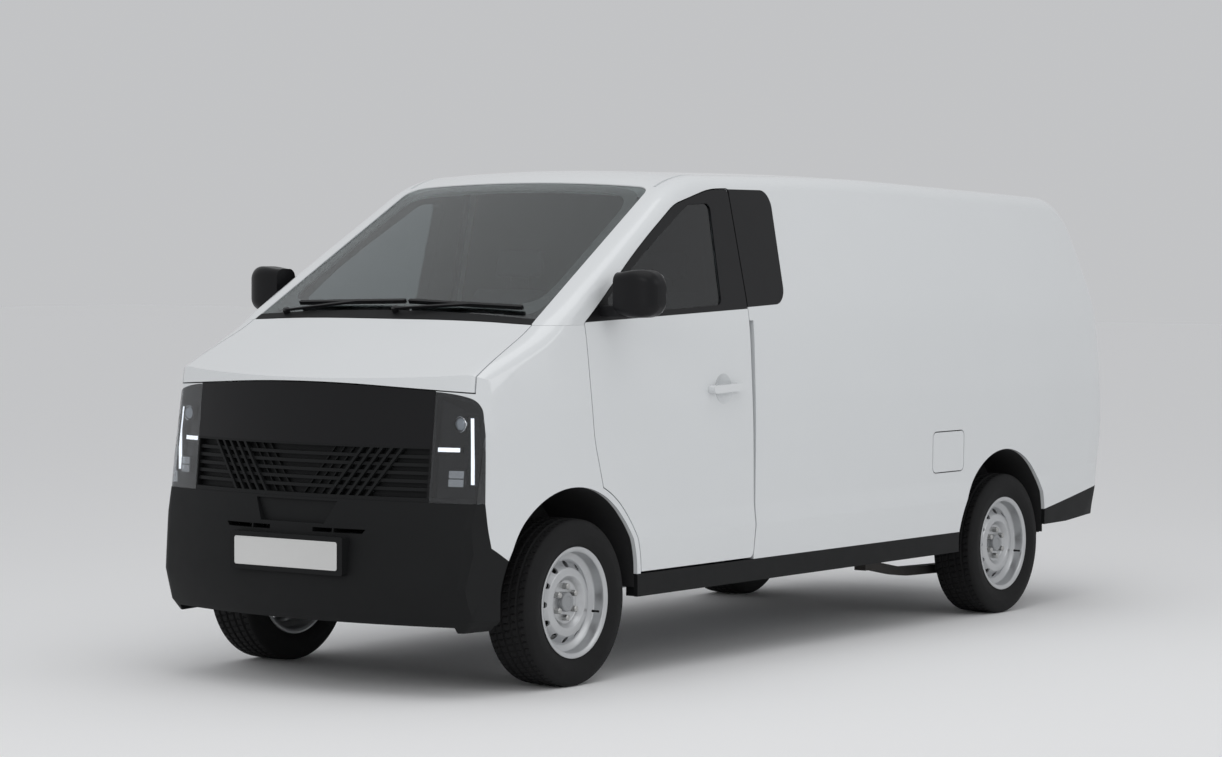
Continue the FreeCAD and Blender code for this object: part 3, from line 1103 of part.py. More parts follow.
def sketch_polygon(s, body, name, role, vertices):
    """A closed sketch on one of the body's origin planes, each vertex bound to two cells of the sheet."""
    sketch = body.newObject("Sketcher::SketchObject", name)
    plane = next(o for o in body.Origin.OriginFeatures if o.Role == role)
    sketch.AttachmentSupport = [(plane, "")]
    sketch.MapMode = "FlatFace"
    points = [Vector(number_of(s, u), number_of(s, v), 0) for u, v in vertices]
    count = len(points)
    for i in range(count):
        sketch.addGeometry(Part.LineSegment(points[i], points[(i + 1) % count]), False)
    for i in range(count):
        sketch.addConstraint(Sketcher.Constraint("Coincident", i, 2, (i + 1) % count, 1))
    for i, (u, v) in enumerate(vertices):
        for kind, cell, value in (("DistanceX", u, points[i].x), ("DistanceY", v, points[i].y)):
            index = sketch.addConstraint(Sketcher.Constraint(kind, -1, 1, i, 1, value))
            sketch.renameConstraint(index, f"{kind}{i}")
            sketch.setExpression(f"Constraints.{kind}{i}", cell_of(cell))
    return sketch


def build_battery(van):
    """The traction battery: one plain block under the floor."""
    s = van.s
    body = van.doc.addObject("PartDesign::Body", "Battery")
    outline = [("-pack_half", "pack_front_y"), ("pack_half", "pack_front_y"), ("pack_half", "pack_rear_y"),
               ("-pack_half", "pack_rear_y")]
    sketch = sketch_polygon(s, body, "PackOutline", "XY_Plane", outline)
    pad = body.newObject("PartDesign::Pad", "PackPad")
    pad.Profile = sketch
    pad.setExpression("Length", "Sizes.pack_high")
    van.doc.recompute()
    upright = [f"Edge{i + 1}" for i, e in enumerate(pad.Shape.Edges)
               if abs(e.Vertexes[0].Z - e.Vertexes[-1].Z) > s.pack_high / 2]
    ease = body.newObject("PartDesign::Fillet", "PackCorners")
    ease.Base = (pad, upright)
    ease.setExpression("Radius", "Sizes.pack_round")
    body.Tip = ease
    body.setExpression("Placement.Base.z", "Sizes.pack_low")
    van.keep("battery_pack", body)


def build_rear_axle(van):
    """Beam axle with its drive unit, brake drums and underslung leaf springs."""
    s = van.s
    y, z = s.rear_axle_y, s.axle_height
    axle = tube_x(s.tube_radius, -s.tube_half, s.tube_half, y, z)
    unit = tube_x(s.motor_radius, s.motor_in, s.motor_out, y - s.motor_ahead, z + s.wall_plate)
    diff = tube_x(s.diff_radius, s.diff_in, s.diff_out, y, z)
    parts = [unit, diff]
    for side in (1, -1):
        drum = tube_x(s.drum_radius, s.drum_in, s.drum_out, y, z)
        hub = tube_x(s.hub_radius, s.drum_in, s.hub_face, y, z)
        line = framed(s, "spring", SPRING_SHARES)
        half = s.spring_wide / 2
        leaf = polygon_solid(line, s.leaf_thick, s.leaf_round, s.spring_mid - half, s.spring_mid + half)
        front = box(s.spring_mid - half, s.spring_mid + half, s.spring_front_y - s.hanger_long / 2,
                    s.spring_front_y + s.hanger_long / 2, s.hanger_low, s.floor_low)
        rear = box(s.spring_mid - half, s.spring_mid + half, s.spring_rear_y - s.hanger_long / 2,
                   s.spring_rear_y + s.hanger_long / 2, s.shackle_low, s.floor_low)
        clamp = box(s.spring_mid - half, s.spring_mid + half, y - s.ubolt_long / 2, y + s.ubolt_long / 2,
                    s.clamp_low, z)
        group = [drum, hub, leaf, front, rear, clamp]
        parts += group if side > 0 else [mirrored(p) for p in group]
    van.add("rear_axle", plain(axle.fuse(parts)))


def build_front_suspension(van):
    """Struts, lower arms, subframe and steering rack, with a steered knuckle at each end."""
    s = van.s
    y = s.front_axle_y
    subframe = box(-s.arm_in, s.arm_in, y - s.subframe_long / 2, y + s.subframe_long / 2,
                   s.arm_z - s.arm_thick / 2, s.arm_z + s.arm_thick / 2)
    post = box(-s.arm_in, s.arm_in, y - s.subframe_long / 2, y + s.subframe_long / 2,
               s.arm_z, s.rail_low)
    post = post.common(box(-s.side_far, -s.rail_post, y - s.side_far, y + s.side_far, 0, s.high_z).fuse(
        box(s.rail_post, s.side_far, y - s.side_far, y + s.side_far, 0, s.high_z)))
    rack = tube_x(s.rack_radius, -s.arm_in, s.arm_in, s.rack_y, s.rack_z)
    rack_foot = box(-s.rail_post, s.rail_post, y, s.rack_y, s.arm_z - s.arm_thick / 2, s.rack_z)
    parts = [post, rack, rack_foot]
    for side in (1, -1):
        arm = prism("XY", [(s.arm_in, y - s.arm_wide), (s.arm_out, y - s.arm_thick / 2),
                           (s.arm_out, y + s.arm_thick / 2), (s.arm_in, y + s.arm_wide * 2)],
                    s.arm_z - s.arm_thick / 2, s.arm_z + s.arm_thick / 2)
        strut = Part.makeCylinder(s.strut_radius, s.strut_top - s.strut_low, Vector(s.strut_x, y, s.strut_low))
        coil = Part.makeCylinder(s.coil_radius, s.strut_top - s.coil_low, Vector(s.strut_x, y, s.coil_low))
        link = box(s.strut_x - s.strut_radius, s.strut_x + s.strut_radius, y - s.strut_radius,
                   y + s.strut_radius, s.arm_z, s.coil_low)
        ball = Part.makeCylinder(s.ball_radius, s.knuckle_low - s.clearance - s.arm_z,
                                 Vector(s.kingpin_x, y, s.arm_z))
        group = [arm, strut, coil, link, ball]
        parts += group if side > 0 else [mirrored(p) for p in group]
    van.add("front_suspension", plain(subframe.fuse(parts)))
    knuckle = box(s.knuckle_in, s.knuckle_out, y - s.knuckle_long / 2, y + s.knuckle_long / 2,
                  s.knuckle_low, s.knuckle_high)
    stub = tube_x(s.stub_radius, s.knuckle_in, s.hub_face, y, s.axle_height)
    disc = tube_x(s.disc_radius, s.disc_in, s.disc_out, y, s.axle_height)
    hub = tube_x(s.hub_radius, s.disc_in, s.hub_face, y, s.axle_height)
    knuckle = plain(knuckle.fuse([stub, disc, hub]))
    van.add("knuckle_left", knuckle)
    van.add("knuckle_right", mirrored(knuckle))


def build_wheels(van):
    """Four steel wheels with round vents, and their tyres."""
    s = van.s
    section = Part.Face(rounded_wire("XY", framed(s, "rim", RIM_SHARES)))
    disc = section.revolve(Vector(0, 0, 0), Vector(1, 0, 0), 360)
    cuts = []
    for i in range(int(s.hole_count)):
        turn = 2 * math.pi * i / s.hole_count
        at = Vector(0, s.hole_circle * math.cos(turn), s.hole_circle * math.sin(turn))
        cuts.append(Part.makeCylinder(s.hole_radius, s.tyre_half, at, Vector(1, 0, 0)))
    disc = disc.cut(cuts)
    extras = []
    for i in range(int(s.nut_count)):
        turn = 2 * math.pi * (i + 1 / 2) / s.nut_count
        at = Vector(s.hub_plane, s.nut_circle * math.cos(turn), s.nut_circle * math.sin(turn))
        nut = Part.makeCylinder(s.nut_radius, s.nut_out - s.hub_plane, at, Vector(1, 0, 0))
        extras.append(nut)
    cap = tube_x(s.cap_radius, s.hub_plane, s.cap_out, 0, 0)
    cap_edges = [e for e in cap.Edges if e.Vertexes[0].X > s.cap_out - s.clearance and e.Closed]
    extras.append(cap.makeFillet(s.cap_round, cap_edges[:1]))
    rim = plain(disc.fuse(extras))

    def tyre_body(label):
        body = van.doc.addObject("PartDesign::Body", label)
        half = [("bead_half", "bead_radius"), ("flange_side", "flange_top"), ("lip_across", "lip_radius"),
                ("tyre_half", "wall_radius"), ("shoulder_across", "shoulder_radius"),
                ("tread_half", "tyre_radius")]
        outline = half + [(f"-{across}", radius) for across, radius in reversed(half)]
        sketch = sketch_polygon(s, body, label + "Section", "XY_Plane", outline)
        turn = body.newObject("PartDesign::Revolution", label + "Turn")
        turn.Profile = sketch
        turn.ReferenceAxis = (sketch, ["H_Axis"])
        turn.Angle = 360
        body.Tip = turn
        return body

    for end, y in (("front", s.front_axle_y), ("rear", s.rear_axle_y)):
        for side, sign in (("left", 1), ("right", -1)):
            spot = Placement(Vector(sign * s.half_track, y, s.axle_height),
                             Rotation(Vector(0, 0, 1), 0 if sign > 0 else 180))
            wheel = van.add(f"rim_{end}_{side}", rim)
            wheel.Placement = spot
            tyre = tyre_body(f"Tyre{end.title()}{side.title()}")
            tyre.Placement = spot
            van.keep(f"tyre_{end}_{side}", tyre)


def build_cabin(van, inner):
    """Seats, dashboard, steering wheel and the wall behind the cab."""
    s = van.s
    seats = []
    for mid in (s.seat_mid, -s.seat_mid):
        cushion = prism("YZ", framed(s, "seat", SEAT_SHARES), mid - s.seat_half, mid + s.seat_half)
        head = prism("YZ", framed(s, "seat", HEAD_SHARES), mid - s.head_half, mid + s.head_half)
        posts = box(mid - s.head_half / 2, mid + s.head_half / 2, s.post_front, s.post_rear, s.post_low,
                    s.post_high)
        base = box(mid - s.seat_base_half, mid + s.seat_base_half, s.seat_base_front, s.seat_base_rear,
                   s.floor_top, s.seat_base_top)
        seats.append(plain(cushion.fuse([head, posts, base])))
    van.add("seats", Part.makeCompound(seats))
    van.add("dashboard", prism("YZ", framed(s, "dash", DASH_SHARES), -s.dash_half, s.dash_half))
    ring = Part.makeTorus(s.wheel_ring, s.wheel_grip)
    boss = Part.makeCylinder(s.boss_radius, s.boss_thick, Vector(0, 0, -s.boss_thick / 2))
    spoke = box(-s.wheel_ring, s.wheel_ring, -s.spoke_wide / 2, s.spoke_wide / 2, -s.wheel_grip / 2,
                s.wheel_grip / 2)
    lower = box(-s.spoke_wide / 2, s.spoke_wide / 2, -s.wheel_ring, 0, -s.wheel_grip / 2, s.wheel_grip / 2)
    column = Part.makeCylinder(s.column_radius, s.column_long, Vector(0, 0, -s.column_long))
    wheel = plain(ring.fuse([boss, spoke, lower, column]))
    wheel.rotate(Vector(0, 0, 0), Vector(1, 0, 0), s.wheel_tilt)
    wheel.translate(Vector(s.seat_mid, s.wheel_y, s.wheel_z))
    wheel = wheel.cut(van.shape("dashboard"))
    van.add("steering_wheel", plain(wheel))
    bulk = inner.common(box(-s.side_far, s.side_far, s.bulk_y, s.bulk_y + s.bulk_thick, s.floor_top, s.high_z))
    van.add("bulkhead", plain(bulk))


def build_mirrors(van):
    """Door mirrors: a rounded head lofted across four sections, on an arm from the door's corner."""
    s = van.s
    wires = []
    for (front, rear, foot, top), x, radius in zip(
            MIRROR_SHARES, (s.mirror_in_x, s.mirror_mid_x, s.mirror_far_x, s.mirror_tip_x),
            (s.mirror_round, s.mirror_round, s.mirror_round, s.mirror_tip_round)):
        corners = framed(s, "mirror", [(front, foot), (rear, foot), (rear, top), (front, top)])
        wires.append(rounded_wire("YZ", [(y, z, radius) for y, z in corners], x))
    head = Part.makeLoft(wires, True, False)
    back_y = s.mirror_from + s.mirror_span - s.mirror_flat
    head = head.common(box(0, s.side_far, s.far_front_y, back_y, s.low_z, s.high_z))
    arm = prism("XY", [
        (s.arm_root_x, s.arm_root_front, s.arm_round), (s.arm_knee_x, s.arm_knee_y, s.arm_round),
        (s.arm_tip_x, s.arm_tip_front, s.arm_round), (s.arm_tip_x, s.arm_tip_rear, s.arm_round),
        (s.arm_back_x, s.arm_back_y, s.arm_round), (s.arm_root_x, s.arm_root_rear, s.arm_round),
    ], s.arm_low, s.arm_high)
    mirror = head.fuse(arm).cut(van.shape("door_frame_left")).cut(van.shape("door_left"))
    mirror = mirror.cut(flank_form(s, s.side_wall)).cut(flank_form(s, s.frame_sink))
    van.add_pair("mirror", plain(mirror))


FITTINGS = {
    "rear_axle_y": 1582, "leaf_thick": 40, "leaf_round": 800, "spring_from": 745, "spring_span": 1585,
    "spring_low": 206, "spring_tall": 124, "clamp_low": 180, "rail_post": 250, "strut_low": 420,
    "cross_long": 690, "cross_mid_y": 1100, "beam_long": 700, "beam_deep": 70,
    "pack_rear_y": 950, "tie_half": 640, "tie_front_y": -400, "tie_rear_y": 1000, "tie_radius": 6.5,
    "ball_radius": 9, "kingpin_x": 655, "carrier_half": 510, "carrier_y": -2450,
    "carrier_deep": 30, "carrier_high": 1130, "stop_radius": 10, "stop_x": 450, "seal_out": 14,
    "seal_in": 22, "seal_thick": 12, "seal_from": 500, "buffer_in": 21,
    "toe_from": -1985, "toe_span": 515, "toe_low": 545, "toe_tall": 755,
}

WIPERS = {
    "wiper_left_x": 330, "wiper_right_x": -250, "wiper_lift": 2, "wiper_high": 16, "wiper_pivot": 14,
    "wiper_pivot_x": -315, "wiper_pivot_y": -12, "blade_half": 280, "blade_low": 40, "blade_high": 54,
    "arm_start_x": -330, "arm_start_y": -18, "arm_bend_x": -300, "arm_ease": 8, "arm_end_x": 40,
    "arm_end_y": 42, "arm_far_x": 20, "arm_far_y": 54,
}


def build_wipers(van):
    """Two parked wipers at the foot of the windscreen."""
    s = van.s
    rise = math.atan2(s.header_z - s.cowl_z, s.header_y - s.cowl_y)
    foot_y = s.screen_low_y
    foot_z = s.cowl_z + (foot_y - s.cowl_y) * math.tan(rise)
    wipers = []
    for mid in (s.wiper_left_x, s.wiper_right_x):
        blade = [(-s.blade_half, s.blade_low), (s.blade_half, s.blade_low), (s.blade_half, s.blade_high),
                 (-s.blade_half, s.blade_high)]
        blade = prism("XY", blade, s.wiper_lift, s.wiper_lift + s.wiper_high)
        arm = [(s.arm_start_x, s.arm_start_y, s.arm_ease), (s.arm_bend_x, s.arm_start_y, s.arm_ease),
               (s.arm_end_x, s.arm_end_y), (s.arm_far_x, s.arm_far_y)]
        arm = prism("XY", arm, s.wiper_high / 2, s.wiper_lift + s.wiper_high)
        foot = Vector(s.wiper_pivot_x, s.wiper_pivot_y, -s.wiper_high * 2)
        pivot = Part.makeCylinder(s.wiper_pivot, s.wiper_high * 3, foot)
        wiper = plain(blade.fuse([arm, pivot]))
        lean = math.degrees(mid / s.crown_radius)
        wiper.rotate(Vector(0, 0, 0), Vector(0, 1, 0), lean)
        wiper.translate(Vector(mid, 0, -mid ** 2 / 2 / s.crown_radius))
        wiper.rotate(Vector(0, 0, 0), Vector(1, 0, 0), math.degrees(rise))
        wiper.translate(Vector(0, foot_y, foot_z))
        wiper = wiper.cut([van.shape("windshield"), van.shape("cowl")])
        wipers.append(plain(wiper))
    van.add("wipers", Part.makeCompound([solid for wiper in wipers for solid in wiper.Solids]))


def write_parts(van):
    """Checks every object, then writes one file for each piece."""
    for piece in van.doc.Objects:
        if "Invalid" in piece.State or "Error" in piece.State:
            raise RuntimeError(f"{piece.Label}: {piece.State}")
    for label, piece in van.pieces.items():
        shape = piece.Shape
        if shape.isNull() or not shape.isValid() or not shape.Solids:
            raise RuntimeError(f"{label}: no valid shape")
    os.makedirs(PARTS_FOLDER, exist_ok=True)
    for label, piece in van.pieces.items():
        piece.Shape.exportStep(os.path.join(PARTS_FOLDER, f"{label}.step"))


doc = FreeCAD.newDocument("PanelVan")
tables = {**SIZES, **PANELS, **FACE, **CHASSIS, **WHEEL, **CABIN, **MIRROR, **FITTINGS, **WIPERS}
van = Van(doc, Sheet(doc, tables))
zones = Zones(van.s)
build_body(van, zones)
build_doors(van, zones)
build_face(van, zones)
build_floor(van, zones.inner)
build_liners(van)
build_underframe(van)
build_battery(van)
build_rear_axle(van)
build_front_suspension(van)
build_wheels(van)
build_cabin(van, zones.inner)
build_mirrors(van)
build_wipers(van)
build_grille_carrier(van)
build_seals(van)
doc.recompute()
write_parts(van)
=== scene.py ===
"""Looks of the panel van: its finishes, a smooth skin over each packed panel, and the small pieces that
the construction leaves out.

Metres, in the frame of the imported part: +X is the van's left side, the nose points to -Y, +Z is up.
"""

import json
import logging
import math
from dataclasses import dataclass
from enum import Enum

import bmesh
import bpy
import numpy as np
from mathutils import Matrix, Vector
from mathutils.bvhtree import BVHTree

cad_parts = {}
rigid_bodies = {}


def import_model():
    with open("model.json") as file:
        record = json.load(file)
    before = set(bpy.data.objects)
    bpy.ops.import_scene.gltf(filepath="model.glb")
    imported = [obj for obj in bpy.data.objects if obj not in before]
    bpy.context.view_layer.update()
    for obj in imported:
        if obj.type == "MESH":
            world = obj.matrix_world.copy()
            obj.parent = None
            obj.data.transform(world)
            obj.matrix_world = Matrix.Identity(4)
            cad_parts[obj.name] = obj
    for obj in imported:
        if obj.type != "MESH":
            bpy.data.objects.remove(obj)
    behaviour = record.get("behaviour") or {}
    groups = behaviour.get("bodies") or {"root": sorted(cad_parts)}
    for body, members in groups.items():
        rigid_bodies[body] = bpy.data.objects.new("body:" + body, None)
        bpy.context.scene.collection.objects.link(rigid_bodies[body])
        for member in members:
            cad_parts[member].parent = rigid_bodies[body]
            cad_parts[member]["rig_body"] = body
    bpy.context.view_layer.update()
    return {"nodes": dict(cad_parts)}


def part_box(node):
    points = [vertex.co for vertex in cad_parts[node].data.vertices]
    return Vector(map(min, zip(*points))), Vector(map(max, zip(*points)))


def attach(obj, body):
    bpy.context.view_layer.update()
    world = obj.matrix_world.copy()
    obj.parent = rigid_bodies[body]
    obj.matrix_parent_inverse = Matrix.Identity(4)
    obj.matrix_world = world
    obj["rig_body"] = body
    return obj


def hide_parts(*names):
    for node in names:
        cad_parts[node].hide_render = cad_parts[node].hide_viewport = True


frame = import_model()
LOG = logging.getLogger("panel_van")
WELD = 0.00002
SHARP_DEGREES = 35
BUMP_STRENGTH = 0.6
WAVE_SCALE = 0.314
THREAD_WANDER = 0.4
Colour = tuple[float, float, float]
Shape = tuple[np.ndarray, np.ndarray]
Pairs = tuple[tuple[float, float], ...]


class Side(Enum):
    """A side of the van, with the sign of its X."""

    LEFT = 1
    RIGHT = -1

    @property
    def word(self) -> str:
        """The side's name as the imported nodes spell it."""
        return self.name.lower()


class Corner(Enum):
    """One wheel's place: its axle's word and its side."""

    FRONT_LEFT = ("front", Side.LEFT)
    FRONT_RIGHT = ("front", Side.RIGHT)
    REAR_LEFT = ("rear", Side.LEFT)
    REAR_RIGHT = ("rear", Side.RIGHT)

    @property
    def word(self) -> str:
        """The corner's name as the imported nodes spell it."""
        return f"{self.value[0]}_{self.value[1].word}"

    @property
    def sign(self) -> int:
        """The sign of X on this corner's side."""
        return self.value[1].value


class Pattern(Enum):
    """How a finish varies in relief."""

    SMOOTH = "smooth"
    GRAIN = "grain"
    WEAVE = "weave"
    PEEL = "peel"


@dataclass(frozen=True)
class Finish:
    """One finish: its shader's own numbers, and how its colour, gloss and relief vary.

    Lengths are in metres. The mottle is a slow change of colour as a share of the colour, and the relief is
    the height of the bump.
    """

    name: str
    slot: str
    colour: Colour
    roughness: float = 0.5
    metallic: float = 0.0
    coat: float = 0.0
    coat_roughness: float = 0.03
    transmission: float = 0.0
    index: float = 1.5
    shine: float = 0.5
    glow: float = 0.0
    mottle: float = 0.06
    mottle_size: float = 0.25
    gloss_change: float = 0.05
    pattern: Pattern = Pattern.SMOOTH
    relief: float = 0.0
    relief_size: float = 0.001

    def material(self) -> bpy.types.Material:
        """The material of this finish, made once and then shared.

        Returns:
            The Blender material.
        """
        found = bpy.data.materials.get(self.name)
        if found is not None:
            return found
        made = bpy.data.materials.new(self.name)
        made.use_nodes = True
        made.diffuse_color = (*self.colour, 1.0)
        tree = made.node_tree
        shader = tree.nodes["Principled BSDF"]
        shader.inputs["Base Color"].default_value = (*self.colour, 1.0)
        shader.inputs["Roughness"].default_value = self.roughness
        shader.inputs["Metallic"].default_value = self.metallic
        shader.inputs["IOR"].default_value = self.index
        shader.inputs["Specular IOR Level"].default_value = self.shine
        shader.inputs["Transmission Weight"].default_value = self.transmission
        shader.inputs["Coat Weight"].default_value = self.coat
        shader.inputs["Coat Roughness"].default_value = self.coat_roughness
        if self.glow:
            shader.inputs["Emission Color"].default_value = (*self.colour, 1.0)
            shader.inputs["Emission Strength"].default_value = self.glow
        place = tree.nodes.new("ShaderNodeTexCoord").outputs["Object"]
        self.vary_colour(tree, place, shader)
        self.vary_gloss(tree, place, shader)
        self.raise_relief(tree, place, shader)
        return made

    def noise(self, tree: bpy.types.NodeTree, place: bpy.types.NodeSocket, size: float,
              detail: float = 3.0) -> bpy.types.NodeSocket:
        """A noise pattern whose lumps are about size metres across."""
        node = tree.nodes.new("ShaderNodeTexNoise")
        node.inputs["Scale"].default_value = 1.0 / size
        node.inputs["Detail"].default_value = detail
        tree.links.new(place, node.inputs["Vector"])
        return node.outputs["Fac"]

    def vary_colour(self, tree: bpy.types.NodeTree, place: bpy.types.NodeSocket,
                    shader: bpy.types.Node) -> None:
        """Links a slow mottle between a darker and the plain colour to the shader's colour."""
        if not self.mottle:
            return
        mix = tree.nodes.new("ShaderNodeMix")
        mix.data_type = "RGBA"
        mix.inputs["A"].default_value = (*[c * (1 - self.mottle) for c in self.colour], 1.0)
        mix.inputs["B"].default_value = (*self.colour, 1.0)
        tree.links.new(self.noise(tree, place, self.mottle_size, 4.0), mix.inputs["Factor"])
        tree.links.new(mix.outputs["Result"], shader.inputs["Base Color"])

    def vary_gloss(self, tree: bpy.types.NodeTree, place: bpy.types.NodeSocket,
                   shader: bpy.types.Node) -> None:
        """Links a slow change of roughness, as fingers, wind and dust leave it."""
        if not self.gloss_change:
            return
        spread = tree.nodes.new("ShaderNodeMapRange")
        spread.inputs["To Min"].default_value = max(0.0, self.roughness - self.gloss_change)
        spread.inputs["To Max"].default_value = min(1.0, self.roughness + self.gloss_change)
        tree.links.new(self.noise(tree, place, self.mottle_size / 3), spread.inputs["Value"])
        tree.links.new(spread.outputs["Result"], shader.inputs["Roughness"])

    def raise_relief(self, tree: bpy.types.NodeTree, place: bpy.types.NodeSocket,
                     shader: bpy.types.Node) -> None:
        """Links the bump of the finish's pattern to the shader's normal."""
        if self.pattern is Pattern.SMOOTH:
            return
        if self.pattern is Pattern.WEAVE:
            height = self.weave(tree, place)
        else:
            height = self.noise(tree, place, self.relief_size, 2.0)
        bump = tree.nodes.new("ShaderNodeBump")
        bump.inputs["Strength"].default_value = BUMP_STRENGTH
        bump.inputs["Distance"].default_value = self.relief
        tree.links.new(height, bump.inputs["Height"])
        tree.links.new(bump.outputs["Normal"], shader.inputs["Normal"])

    def weave(self, tree: bpy.types.NodeTree, place: bpy.types.NodeSocket) -> bpy.types.NodeSocket:
        """Two crossed sets of threads: the higher of two sine waves along Y and along Z."""
        highs = []
        for direction in ("Y", "Z"):
            wave = tree.nodes.new("ShaderNodeTexWave")
            wave.bands_direction = direction
            wave.inputs["Scale"].default_value = WAVE_SCALE / self.relief_size
            wave.inputs["Distortion"].default_value = THREAD_WANDER
            tree.links.new(place, wave.inputs["Vector"])
            highs.append(wave.outputs["Fac"])
        top = tree.nodes.new("ShaderNodeMath")
        top.operation = "MAXIMUM"
        tree.links.new(highs[0], top.inputs[0])
        tree.links.new(highs[1], top.inputs[1])
        return top.outputs["Value"]


PAINT = Finish("gloss_white_paint", "paint", (0.74, 0.76, 0.77), 0.30, coat=1.0, mottle=0.02,
               gloss_change=0.04, pattern=Pattern.PEEL, relief=0.00004, relief_size=0.006)
GLOSS_BLACK = Finish("gloss_black_panel", "gloss_black", (0.012, 0.012, 0.014), 0.12, coat=0.6,
                     mottle=0.1, gloss_change=0.03)
SATIN_BLACK = Finish("satin_black_panel", "gloss_black", (0.008, 0.008, 0.009), 0.36, shine=0.2, mottle=0.1,
                     pattern=Pattern.GRAIN, relief=0.00004, relief_size=0.0012)
GRAINED_BLACK = Finish("grained_black_plastic", "black_plastic", (0.010, 0.0105, 0.011), 0.55, shine=0.16,
                       mottle=0.15, pattern=Pattern.GRAIN, relief=0.00012, relief_size=0.0014)
TRIM = Finish("cabin_trim", "trim", (0.030, 0.031, 0.034), 0.6, mottle=0.1, pattern=Pattern.GRAIN,
              relief=0.00012, relief_size=0.0016)
CABIN_CLOTH = Finish("seat_cloth", "seat_cloth", (0.045, 0.047, 0.052), 0.85, mottle=0.15,
                     pattern=Pattern.WEAVE, relief=0.0002, relief_size=0.0022)
GLASS = Finish("tinted_glass", "glass", (0.60, 0.66, 0.66), 0.0, transmission=1.0, index=1.45, mottle=0.0,
               gloss_change=0.0)
DARK_GLASS = Finish("dark_glass", "glass", (0.16, 0.18, 0.19), 0.0, transmission=1.0, index=1.45,
                    mottle=0.0, gloss_change=0.0)
CLEAR_COVER = Finish("smoked_lamp_cover", "lamp", (0.62, 0.64, 0.66), 0.0, transmission=1.0, index=1.49,
                     mottle=0.0, gloss_change=0.0)
LAMP_BLACK = Finish("lamp_housing", "lamp", (0.008, 0.008, 0.009), 0.22, shine=0.25, mottle=0.1,
                    gloss_change=0.04)
BRIGHT_METAL = Finish("lamp_reflector", "lamp", (0.78, 0.79, 0.80), 0.10, metallic=1.0, mottle=0.03)
LIGHT_GUIDE = Finish("lit_light_guide", "lamp", (0.92, 0.95, 1.0), 0.3, glow=1.6, mottle=0.0,
                     gloss_change=0.0)
RED_LENS = Finish("red_lens", "tail_lamp", (0.42, 0.012, 0.012), 0.06, coat=1.0, mottle=0.15,
                  mottle_size=0.01, gloss_change=0.02)
WHEEL_SILVER = Finish("wheel_silver_paint", "wheel_steel", (0.56, 0.57, 0.58), 0.32, metallic=0.75,
                      mottle=0.08, mottle_size=0.05, pattern=Pattern.GRAIN, relief=0.00003,
                      relief_size=0.0008)
ZINC = Finish("zinc_nuts", "wheel_steel", (0.48, 0.48, 0.47), 0.34, metallic=1.0, mottle=0.12,
              mottle_size=0.02)
TYRE_RUBBER = Finish("tyre_rubber", "tyre", (0.012, 0.012, 0.0125), 0.72, shine=0.2, mottle=0.25,
                     mottle_size=0.06, pattern=Pattern.GRAIN, relief=0.00015, relief_size=0.0018)
SEAL_RUBBER = Finish("seal_rubber", "rubber", (0.010, 0.010, 0.0105), 0.6, shine=0.2, mottle=0.1,
                     pattern=Pattern.GRAIN, relief=0.0001, relief_size=0.002)
CHASSIS_COAT = Finish("underbody_coat", "chassis_steel", (0.030, 0.030, 0.032), 0.6, mottle=0.3,
                      mottle_size=0.08, pattern=Pattern.GRAIN, relief=0.0004, relief_size=0.006)
CAST_IRON = Finish("cast_iron", "axle_steel", (0.085, 0.080, 0.076), 0.55, metallic=0.8, mottle=0.35,
                   mottle_size=0.04, pattern=Pattern.GRAIN, relief=0.0004, relief_size=0.003)
BATTERY_GREY = Finish("battery_case", "battery_case", (0.14, 0.15, 0.16), 0.45, metallic=0.3, mottle=0.15,
                      pattern=Pattern.GRAIN, relief=0.0002, relief_size=0.002)
FLOOR_COAT = Finish("load_floor_coat", "floor_coat", (0.22, 0.23, 0.24), 0.5, mottle=0.12,
                    pattern=Pattern.GRAIN, relief=0.0002, relief_size=0.003)
PLATE_WHITE = Finish("blank_plate", "paint", (0.66, 0.66, 0.65), 0.35, mottle=0.03, mottle_size=0.05)
CAP_GREY = Finish("wheel_cap_plastic", "wheel_steel", (0.30, 0.31, 0.32), 0.42, mottle=0.08,
                  pattern=Pattern.GRAIN, relief=0.00004, relief_size=0.001)
LENS_GLASS = Finish("projector_lens", "lamp", (0.75, 0.80, 0.86), 0.02, metallic=0.4, coat=1.0, mottle=0.0,
                    gloss_change=0.0)
SILVERED = Finish("mirror_glass", "glass", (0.88, 0.89, 0.90), 0.02, metallic=1.0, mottle=0.0,
                  gloss_change=0.0)
AMBER_LENS = Finish("amber_lens", "tail_lamp", (0.75, 0.22, 0.01), 0.08, coat=1.0, mottle=0.1,
                    mottle_size=0.01, gloss_change=0.02)
CLEAR_LENS = Finish("clear_lens", "tail_lamp", (0.72, 0.73, 0.74), 0.08, coat=1.0, mottle=0.1,
                    mottle_size=0.01, gloss_change=0.02)
LINER_BLACK = Finish("wheel_liner_plastic", "black_plastic", (0.014, 0.014, 0.015), 0.75, mottle=0.25,
                     mottle_size=0.05, pattern=Pattern.GRAIN, relief=0.0003, relief_size=0.004)


